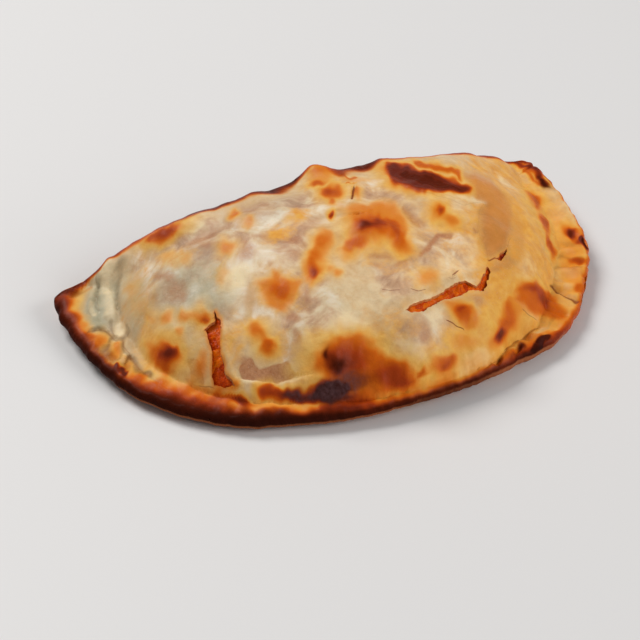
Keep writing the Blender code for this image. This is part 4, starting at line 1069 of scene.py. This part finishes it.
def painted(points, normals):
    """All channels of the painting at points of the crust."""
    x, y, z = points.T
    angle, to_rim, from_fold, _ = placed = place(x, y, 0)
    upward = normals[:, 2] > 0
    level = np.where(upward, form_height(x, y, 0, placed), z)
    across, up = traced(np.stack([x, y, level], 1))
    facing = facing_share(normals @ TRACE_BACK, PAINT_FACING)
    hidden = 1 - facing
    rough = wavered(across, up, PAINT_WAVER)
    values = {name.lower(): channel(name, *rough) * facing for name in CHANNELS}
    values["halo"] = channel("TOAST", *rough, wider=HALO, softer=2 * HALO, steps=1) * facing
    values["crack"], dark = crack_lines(*wavered(across, up, CRACK_WAVER))
    values["crack_dark"] = dark * smooth(facing * 2)

    edge = np.minimum(from_fold, to_rim)
    noise = ripple(x + 0.7 * z, y - 0.5 * z, 9.0, 51)
    below, burnt = browned_below(points, angle, edge, noise)
    line_at, line_toast, line_char, line_reach = np.array(BACK_LINE).T
    bend = 1 - smooth(below_top(across, up, upward) / np.interp(across, line_at, line_reach) + 0.1 * noise)
    bend = bend * smooth((y - BEND_FROM) / BEND_EASE) * facing
    lips = [share * (1 - smooth(beside_tear(x, y, TEARS[name]) / reach)) * facing
            for name, (share, reach) in TEAR_LIPS.items()]
    rim_toast, rim_char, values["layer"] = browned_rim(points, normals, angle, to_rim)
    values["toast"] = combined([values["toast"], *(share * hidden for share in below),
                                scattered(points, hidden, *HIDDEN_TOAST),
                                bend * np.interp(across, line_at, line_toast), rim_toast, *lips])
    values["char"] = combined([values["char"], burnt * hidden,
                               bend * np.interp(across, line_at, line_char), rim_char,
                               scattered(points, hidden, *HIDDEN_CHAR)])
    values["gold"] = combined([values["gold"], HIDDEN_GOLD * hidden * (0.8 + 0.3 * noise)])
    values["cream"] = combined([values["cream"], scattered(points, hidden, *HIDDEN_CREAM)])
    return values


# ---- meshes -------------------------------------------------------------------------------------
def add_mesh(name, points, faces):
    """A mesh object from points in millimetres of the plan frame."""
    mesh = bpy.data.meshes.new(name)
    placed = (np.array(points, float) - (*ORIGIN, 0)) * MM
    mesh.from_pydata(placed.tolist(), [], faces)
    thing = bpy.data.objects.new(name, mesh)
    bpy.context.collection.objects.link(thing)
    return thing


def plan_points(mesh):
    """A mesh's points in millimetres of the plan frame, and its normals."""
    count = len(mesh.vertices)
    points, normals = np.empty(count * 3), np.empty(count * 3)
    mesh.vertices.foreach_get("co", points)
    mesh.vertex_normals.foreach_get("vector", normals)
    return points.reshape(-1, 3) / MM + (*ORIGIN, 0), normals.reshape(-1, 3)


def torn_edge(outline, seed):
    """A tear's outline with the waver of torn dough."""
    line = closed(np.array(outline))
    travel = travelled(line)
    points = points_along(line, travel, np.arange(0, travel[-1], TEAR_STEP))
    shift = sum(size * np.stack([ripple(*points.T, wavelength, seed + k) for k in (0, 5)], 1)
                for wavelength, size in TEAR_WAVER)
    shift[0] = 0
    return points + shift


def beside_tear(x, y, outline):
    """Distance to a tear, 0 inside it."""
    return np.maximum(-inside_distance(x, y, outline), 0)


def dough_depth(x, y):
    """Thickness of the dough over the hollow: thin at the tears, full away from them."""
    beside = np.min([beside_tear(x, y, outline) for outline in TEARS.values()], axis=0)
    return THIN_CRUST + (CRUST - THIN_CRUST) * smooth((beside - THIN_FROM) / THINNING)


def slope_facing(x, y, level):
    """How squarely each point of the gridded top faces the traced plane."""
    nx, ny = SKIN_GRID
    grid = np.stack([x, y, level], 1).reshape(ny + 1, nx + 1, 3)
    normal = np.cross(np.gradient(grid, axis=1), np.gradient(grid, axis=0))
    normal /= np.maximum(np.linalg.norm(normal, axis=2, keepdims=True), 1e-9)
    return (normal @ TRACE_BACK).ravel()


def fork_marks(angle, to_rim, from_rim):
    """How deep the fork has pressed the skin at each point."""
    marks = CRIMP_DEPTH * by_angle(angle, CRIMP_STRENGTH, 1) * tine_marks(angle)
    marks = marks * smooth(to_rim / (SEAL / 2))
    return marks * (1 - smooth(from_rim / CRIMP_FADE)) * (1 - fold_share(angle))


def baked_lift(x, y, level):
    """Fine unevenness of the baked skin: its grain, puffed spots, ridges and creases."""
    across, up = traced(np.stack([x, y, level], 1))
    facing = facing_share(slope_facing(x, y, level), SKIN_FACING)
    lift = sum(size * (facing * ripple(across, up, wavelength, seed, waves=FINE_WAVES)
                       + (1 - facing) * ripple(x, y, wavelength, seed, waves=FINE_WAVES))
               for wavelength, size, seed in GRAIN)
    toasted = np.clip(channel("TOAST", *wavered(across, up, PAINT_WAVER)), 0, 1)
    lift = lift * (1 + BLISTER_GRAIN * toasted * facing) + BLISTER_RISE * smooth(toasted) * facing
    return lift + CREASE_SCALE * creases(*wavered(across, up, CRACK_WAVER)) * facing


def ring_under(edge, inset, height):
    """Points that far in from the skin's rim, which is given as x, y and compass angle."""
    x, y, turn = edge
    return np.stack([x - inset * np.cos(turn), y - inset * np.sin(turn), height], 1)


def band(upper, lower):
    """Faces between two rings with as many points."""
    count = len(lower)
    return [(upper[(k + 1) % count], upper[k], lower[k], lower[(k + 1) % count]) for k in range(count)]


def coarser_band(upper, lower):
    """Faces from a ring to one with half its points."""
    count = len(lower)
    return [(upper[(2 * k + 2) % len(upper)], upper[2 * k + 1], upper[2 * k], lower[k],
             lower[(k + 1) % count]) for k in range(count)]


def crust_skin():
    """The crust's outer form as one closed mesh: fine top, rings round the underside, gridded base."""
    x, y, faces, ring = patch(EDGE, SKIN_GRID)
    angle, to_rim, from_fold, from_rim = placed = place(x, y, 0)
    level = form_height(x, y, 0, placed)
    inner = smooth(np.minimum(from_fold, to_rim) / GRAIN_FADE)
    z = level - fork_marks(angle, to_rim, from_rim) + baked_lift(x, y, level) * inner
    points = [np.stack([x, y, z], 1)]
    total = len(x)

    edge = np.stack([x, y, angle])[:, ring]
    for inset in UNDERSIDE_RINGS + COARSE_RINGS:
        coarser = inset in COARSE_RINGS
        edge = edge[:, ::2] if coarser else edge
        height = np.zeros(edge.shape[1]) if coarser else bottom_height(inset, edge[2])
        points.append(ring_under(edge, inset, height))
        lower = list(range(total, total + len(height)))
        faces += (coarser_band if coarser else band)(ring, lower)
        ring, total = lower, total + len(lower)
    x, y, base_faces, base_rim = patch(inset_loop(EDGE, BASE_INSET), [n // BASE_COARSER for n in SKIN_GRID])
    fade = inside_share(x, y, inset_loop(EDGE, BASE_INSET + BASE_FADE)[::BASE_THINNED], BASE_FADE)
    points.append(np.stack([x, y, BASE_LIFT * (1 + ripple(x, y, 11.0, 61)).clip(0) * fade], 1))
    faces += [tuple(total + k for k in reversed(face)) for face in base_faces]
    faces += band(ring, [total + k for k in base_rim])
    return np.concatenate(points), faces


def hollow_form(cells, lumps=None):
    """The hollow in the crust, or the filling in it: a roof and a floor that meet in an edge."""
    x, y, faces, rim = patch(hollow_loop(), cells)
    depth = dough_depth(x, y)
    angle, _, from_fold, from_rim = place(x, y, CRUST)
    placed = (angle, distance(x, y, ARC_LINE), from_fold + CRUST - depth, from_rim + CRUST - depth)
    roof = form_height(x, y, depth, placed)
    meeting = edge_value(angle, EDGE_HEIGHT) + seal_half(angle) - CRUST * RIM_SINK * (1 - fold_share(angle))
    inward = np.minimum(from_fold, from_rim)
    floor = CRUST + (meeting - CRUST) * (1 - quarter_round(inward, UNDERCUT - CRUST))
    inner = smooth(inward / HOLLOW_FADE)
    if lumps is not None:
        roof = roof - lumps(x, y) * inner
    roof = np.maximum(roof, floor + LEAST_HOLLOW * inner)
    roof[rim] = floor[rim] = (roof[rim] + floor[rim]) / 2
    points = list(zip(x, y, roof))
    below = {k: k for k in rim}
    for k in range(len(x)):
        if k not in below:
            below[k] = len(points)
            points.append((x[k], y[k], floor[k]))
    faces = faces + [tuple(below[k] for k in reversed(face)) for face in faces]
    halves = [(a, b, c) for a, b, c, d in faces] + [(a, c, d) for a, b, c, d in faces]
    return points, halves


def minced(x, y):
    """Unevenness of the chopped filling: how far below the dough it lies."""
    drop = sum((size * ripple(x, y, wavelength, seed, waves) for wavelength, size, seed, waves in MINCE),
               MINCE_DROP)
    return np.clip(drop, *MINCE_RANGE)


def shrunk(points, faces, gap):
    """The form with every point moved in along its normal."""
    thing = add_mesh("shrinking", points, faces)
    at, normals = plan_points(thing.data)
    bpy.data.objects.remove(thing, do_unlink=True)
    return at - gap * normals


def cut(target, cutter):
    """Takes the cutter out of the target, and gives the cut faces the cutter's material."""
    modifier = target.modifiers.new(cutter.name, "BOOLEAN")
    modifier.operation = "DIFFERENCE"
    modifier.solver = "MANIFOLD"
    modifier.object = cutter
    modifier.material_mode = "TRANSFER"


def applied(thing, cutters):
    """Makes the cut mesh the object's own, and clears the cutters away."""
    graph = bpy.context.evaluated_depsgraph_get()
    mesh = bpy.data.meshes.new_from_object(thing.evaluated_get(graph))
    thing.modifiers.clear()
    thing.data = mesh
    for cutter in cutters:
        bpy.data.objects.remove(cutter, do_unlink=True)


def store(mesh, values):
    """Keeps the painted channels as attributes of the mesh's points."""
    for name, value in values.items():
        mesh.attributes.new(name, "FLOAT", "POINT").data.foreach_set("value", value.astype(np.float32))


# ---- materials ----------------------------------------------------------------------------------
def colour(red, green, blue):
    """A linear colour from its 0 to 255 display values."""
    values = np.array([red, green, blue]) / 255
    return (*np.where(values <= 0.04045, values / 12.92, ((values + 0.055) / 1.055) ** 2.4).tolist(), 1)


class Graph:
    """Builds the nodes of one material."""

    def __init__(self, name):
        self.material = bpy.data.materials.new(name)
        self.material.use_nodes = True
        self.nodes, self.links = self.material.node_tree.nodes, self.material.node_tree.links
        self.shader = self.nodes["Principled BSDF"]
        metres = self.node("TexCoord").outputs["Object"]
        self.place = self.node("VectorMath", {0: metres, 3: 1 / MM}, operation="SCALE").outputs[0]

    def fill(self, socket, value):
        """Links a socket to another node's output, or sets its value."""
        if isinstance(value, bpy.types.NodeSocket):
            self.links.new(value, socket)
        else:
            socket.default_value = value

    def node(self, kind, inputs=(), **settings):
        """A new node of that kind, with its inputs filled by name or number."""
        made = self.nodes.new("ShaderNode" + kind)
        for key, value in settings.items():
            setattr(made, key, value)
        for key, value in dict(inputs).items():
            self.fill(made.inputs[key], value)
        return made

    def math(self, operation, first, second=0.0, third=None):
        """A sum, product or the like of two or three values."""
        inputs = {0: first, 1: second}
        if third is not None:
            inputs[2] = third
        return self.node("Math", inputs, operation=operation).outputs[0]

    def rise(self, value, low, high, top=1.0):
        """0 below low, eased up to top above high."""
        inputs = {"Value": value, "From Min": low, "From Max": high, "To Min": 0.0, "To Max": top}
        return self.node("MapRange", inputs, interpolation_type="SMOOTHSTEP").outputs[0]

    def noise(self, wavelength, detail=2.0, roughness=0.5, distortion=0.0):
        """Noise about 0, mostly between -0.5 and 0.5."""
        inputs = {"Vector": self.place, "Scale": 1 / wavelength, "Detail": detail, "Roughness": roughness,
                  "Distortion": distortion}
        return self.math("SUBTRACT", self.node("TexNoise", inputs).outputs[0], 0.5)

    def cells(self, size, output="Distance"):
        """Rounded cells of about that size."""
        return self.node("TexVoronoi", {"Vector": self.place, "Scale": 1 / size}).outputs[output]

    def attribute(self, name):
        """A painted channel."""
        return self.node("Attribute", attribute_name=name).outputs["Fac"]

    def mix(self, share, first, second, blend_type="MIX"):
        """The first colour with that share of the second over it."""
        inputs = {0: share, 6: first, 7: second}
        return self.node("Mix", inputs, data_type="RGBA", blend_type=blend_type).outputs[2]

    def between(self, noise, spread, first, second):
        """A colour that noise of that spread carries from the first to the second."""
        return self.mix(self.rise(noise, -spread, spread), colour(*first), colour(*second))

    def ramp(self, share, stops):
        """A colour that runs through the stops as the share grows."""
        made = self.node("ValToRGB", {0: share})
        elements = made.color_ramp.elements
        while len(elements) < len(stops):
            elements.new(0.5)
        for element, (position, tone) in zip(elements, stops):
            element.position, element.color = position, colour(*tone)
        return made.outputs[0]

    def bump(self, height):
        """A bump whose heights are in millimetres."""
        return self.node("Bump", {"Height": height, "Distance": MM, "Strength": 1.0}).outputs[0]

    def finish(self, **sockets):
        """Fills the shader's sockets and gives the material."""
        for name, value in sockets.items():
            self.fill(self.shader.inputs[name.replace("_", " ")], value)
        return self.material


def painted_share(g, mottle, name, waver, high=0.9, top=1.0):
    """How far one painted channel shows, with an edge that follows the mottle."""
    value = g.attribute(name)
    room = g.math("MULTIPLY", g.rise(value, 0.0, 0.15), waver)
    return g.rise(g.math("MULTIPLY_ADD", mottle, room, value), 0.05, high, top)


def pale_dough(g, mottle, fine, finest):
    """Dough before it browns: pale or marbled, then gold, grey, cream with painted highlights, and mauve,
    with its pores.
    """
    tone = g.between(mottle, 0.4, (208, 170, 122), (232, 202, 158))
    marbling = g.math("MULTIPLY_ADD", fine, 0.12, g.noise(9.0, 3, 0.55, 0.7))
    marbling = g.ramp(g.math("MULTIPLY_ADD", marbling, 2.0, 0.5), MARBLING)
    tone = g.mix(g.rise(g.attribute("marble"), 0.0, 0.9, 0.85), tone, marbling)
    streaks, gold = g.noise(7.0, 4, 0.6, 1.2), g.attribute("gold")
    golden = g.math("MULTIPLY_ADD", streaks, g.rise(gold, 0.0, 0.2, 1.5), gold)
    golden = g.math("MULTIPLY_ADD", mottle, g.rise(gold, 0.0, 0.15, 0.4), golden)
    tone = g.mix(g.rise(golden, 0.05, 0.9), tone, g.between(mottle, 0.4, (222, 146, 52), (240, 182, 88)))
    tone = g.mix(painted_share(g, mottle, "cool", 0.4), tone, colour(174, 168, 140))
    # cream: pale dough, and painted highlights on folds, lips and ridges
    tone = g.mix(painted_share(g, mottle, "cream", 0.45), tone, colour(244, 222, 180))
    tone = g.mix(painted_share(g, mottle, "lilac", 0.5, top=0.9), tone,
                 g.between(fine, 0.3, (170, 104, 64), (196, 140, 100)))
    pores = g.math("ADD", fine, finest)
    tone = g.mix(g.rise(pores, 0.05, 0.5, 0.22), tone, colour(176, 116, 70))
    return g.mix(g.rise(g.math("MULTIPLY", pores, -1.0), 0.05, 0.5, 0.22), tone, colour(250, 236, 208))


def browned(g, tone, mottle, finest):
    """The dough with its golden halos, its browns and the shade in its folds."""
    halo = g.math("MULTIPLY_ADD", mottle, 0.08, g.attribute("halo"))
    tone = g.mix(g.rise(halo, 0.08, 0.6, 0.85), tone, g.between(mottle, 0.4, (224, 160, 62), (238, 190, 96)))
    toast = g.attribute("toast")
    uneven = g.math("MULTIPLY", g.math("ADD", mottle, g.math("MULTIPLY", finest, 0.3)), 0.07)
    toast = g.math("MULTIPLY_ADD", uneven, g.rise(toast, 0.02, 0.3), toast)
    tone = g.mix(g.rise(toast, 0.03, 0.58), tone, g.ramp(toast, BROWNS))
    shaded = g.mix(1.0, tone, colour(128, 104, 74), "MULTIPLY")
    return g.mix(painted_share(g, mottle, "shade", 0.4, 0.95), tone, shaded)


def blackened(g, tone, char, middling, fine):
    """The browned dough with its char, which turns grey where it is thickest: partly ash, partly a painted
    sheen.
    """
    # grey where the char is thickest: partly ash, partly a painted sheen
    ash = g.math("MULTIPLY", g.rise(g.math("ADD", middling, fine), -0.5, 0.35, 0.8),
                 g.rise(g.attribute("ash"), 0.2, 0.85))
    black = g.mix(g.rise(char, 0.4, 1.05), colour(112, 36, 10), colour(48, 17, 10))
    return g.mix(g.rise(char, 0.05, 0.88), tone, g.mix(ash, black, colour(92, 64, 66)))


def cracked(g, tone, fine):
    """The crust's colour with the line of its lower layer and its fine cracks."""
    tone = g.mix(g.rise(g.attribute("layer"), 0.2, 0.8, 0.75), tone, colour(168, 98, 62))
    crack = g.math("SUBTRACT", g.math("ABSOLUTE", g.attribute("crack")), g.math("MULTIPLY", fine, 0.8))
    line = g.math("MULTIPLY", g.attribute("crack_dark"), g.math("SUBTRACT", 1.0, g.rise(crack, 0.0, 1.7)))
    return g.mix(g.rise(line, 0.05, 0.95, 0.85), tone, colour(122, 38, 2))


def crust_material():
    """Baked dough: painted colours, dull char with bubbles, and stretched skin that is smoother."""
    g = Graph("baked_crust")
    middling, fine, finest = g.noise(3.2, 3, 0.55), g.noise(1.1, 3, 0.6), g.noise(0.4, 2, 0.6)
    mottle = g.math("ADD", g.math("MULTIPLY", middling, 1.1), g.math("MULTIPLY", fine, 0.6))
    char = g.attribute("char")
    char = g.math("MULTIPLY_ADD", g.math("MULTIPLY", mottle, 0.16), g.rise(char, 0.02, 0.3), char)
    tone = browned(g, pale_dough(g, mottle, fine, finest), mottle, finest)
    tone = cracked(g, blackened(g, tone, char, middling, fine), fine)

    bubbles = g.math("SUBTRACT", 0.5, g.cells(1.3))
    height = g.math("ADD", g.math("MULTIPLY", middling, 0.24), g.math("MULTIPLY", fine, 0.09))
    height = g.math("MULTIPLY_ADD", finest, 0.02, height)
    height = g.math("MULTIPLY_ADD", g.math("MULTIPLY", bubbles, g.rise(char, 0.3, 0.8)), 0.15, height)
    stretched = g.attribute("smooth")
    height = g.math("MULTIPLY", height, g.math("SUBTRACT", 1.0, g.rise(stretched, 0.2, 0.8, 0.6)))
    gloss = g.math("MULTIPLY_ADD", finest, 0.25, 0.44)
    gloss = g.math("SUBTRACT", gloss, g.math("MULTIPLY", g.rise(char, 0.4, 1.0, 0.2), g.rise(fine, 0.0, 0.3)))
    gloss = g.math("SUBTRACT", gloss, g.rise(stretched, 0.2, 0.8, 0.10))
    shine = g.math("SUBTRACT", 0.13, g.rise(char, 0.2, 0.9, 0.125))
    return g.finish(Base_Color=tone, Roughness=gloss, Normal=g.bump(height), Subsurface_Weight=0.06,
                    Subsurface_Radius=(1.0, 0.65, 0.4), Subsurface_Scale=1.2 * MM, IOR=1.45,
                    Specular_IOR_Level=shine, Coat_Weight=0.02, Coat_Roughness=0.3)


def torn_material():
    """Moist dough inside the tears and the hollow."""
    g = Graph("torn_dough")
    fine, middling = g.noise(0.7, 3, 0.6), g.noise(2.5, 3)
    tone = g.ramp(g.math("MULTIPLY_ADD", middling, 0.8, g.math("MULTIPLY_ADD", fine, 0.7, 0.5)), TORN_BROWNS)
    height = g.math("MULTIPLY_ADD", fine, 0.3, g.math("MULTIPLY", middling, 0.3))
    return g.finish(Base_Color=tone, Roughness=0.45, Normal=g.bump(height), Subsurface_Weight=0.1,
                    Subsurface_Radius=(1.0, 0.4, 0.2), Subsurface_Scale=1.2 * MM)


def filling_material():
    """Cooked mince in orange and red, with a little fat on it."""
    g = Graph("cooked_filling")
    chunks, shreds = g.cells(CHUNK), g.noise(1.1, 3, 0.6, 0.6)
    tint = g.node("SeparateColor", {0: g.cells(CHUNK, output="Color")}).outputs[0]
    tone = g.math("MULTIPLY_ADD", shreds, 0.7, g.math("MULTIPLY_ADD", tint, 0.45, 0.25))
    height = g.math("SUBTRACT", g.math("MULTIPLY", shreds, 0.5), g.math("MULTIPLY", chunks, 0.4))
    gloss = g.math("MULTIPLY_ADD", shreds, 0.3, 0.27)
    return g.finish(Base_Color=g.ramp(tone, MINCE_REDS), Roughness=gloss, Normal=g.bump(height),
                    Specular_IOR_Level=0.12, Coat_Weight=0.05, Coat_Roughness=0.12)


# ---- the two pieces -----------------------------------------------------------------------------
crust = add_mesh("crust_baked", *crust_skin())
crust.data.materials.append(crust_material())
torn = torn_material()
cutters = [add_mesh("hollow", *hollow_form(HOLLOW_GRID))]
for number, (name, outline) in enumerate(TEARS.items()):
    edge_line = torn_edge(outline, TEAR_SEED + number)
    cutters.append(add_mesh(name, *prism(edge_line, TEAR_FLOOR, TEAR_TOP)))
for cutter in cutters:
    cutter.data.materials.append(torn)
    cut(crust, cutter)
applied(crust, cutters)
crust.data.shade_smooth()
crust.data.set_sharp_from_angle(angle=math.radians(SHARP))
store(crust.data, painted(*plan_points(crust.data)))

filling_points, filling_faces = hollow_form(FILLING_GRID, minced)
filling_points = shrunk(filling_points, filling_faces, FILLING_GAP - FILLING_RISE)
filling = add_mesh("filling_minced", filling_points, filling_faces)
filling.data.materials.append(filling_material())
filling.data.shade_smooth()

for piece, node in ((crust, "crust"), (filling, "filling")):
    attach(piece, "root")
    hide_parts(node)

# ---- floor, light and camera --------------------------------------------------------------------
floor_mesh = bpy.data.meshes.new("floor")
floor_mesh.from_pydata([(-FLOOR, -FLOOR, 0), (FLOOR, -FLOOR, 0), (FLOOR, FLOOR, 0), (-FLOOR, FLOOR, 0)], [],
                       [(0, 1, 2, 3)])
floor = bpy.data.objects.new("floor", floor_mesh)
bpy.context.collection.objects.link(floor)
floor.data.materials.append(Graph("pale_floor").finish(Base_Color=colour(*FLOOR_TONE), Roughness=0.55))

scene = bpy.context.scene
scene.view_settings.view_transform = "Standard"
world = bpy.data.worlds.new("studio")
scene.world = world
world.use_nodes = True
background = world.node_tree.nodes["Background"]
background.inputs["Color"].default_value = (1.0, 1.0, 1.0, 1)
background.inputs["Strength"].default_value = WORLD

for name, turn, rise, away, size, power, tint in LIGHTS:
    lamp = bpy.data.lights.new(name, "AREA")
    lamp.shape, lamp.size, lamp.energy, lamp.color = "DISK", size, power, tint
    holder = bpy.data.objects.new(name, lamp)
    a, e = math.radians(turn), math.radians(rise)
    holder.location = Vector((math.cos(a) * math.cos(e), math.sin(a) * math.cos(e), math.sin(e))) * away
    holder.rotation_euler = (-holder.location).to_track_quat("-Z", "Y").to_euler()
    bpy.context.collection.objects.link(holder)

camera_data = bpy.data.cameras.new("camera")
camera_data.lens, camera_data.sensor_width = LENS, SENSOR_WIDTH
camera_data.clip_start, camera_data.clip_end = CLIP
camera = bpy.data.objects.new("camera", camera_data)
camera.location = CAMERA_AT
camera.rotation_euler = Vector(CAMERA_LOOKS).to_track_quat("-Z", "Y").to_euler()
bpy.context.collection.objects.link(camera)
scene.camera = camera
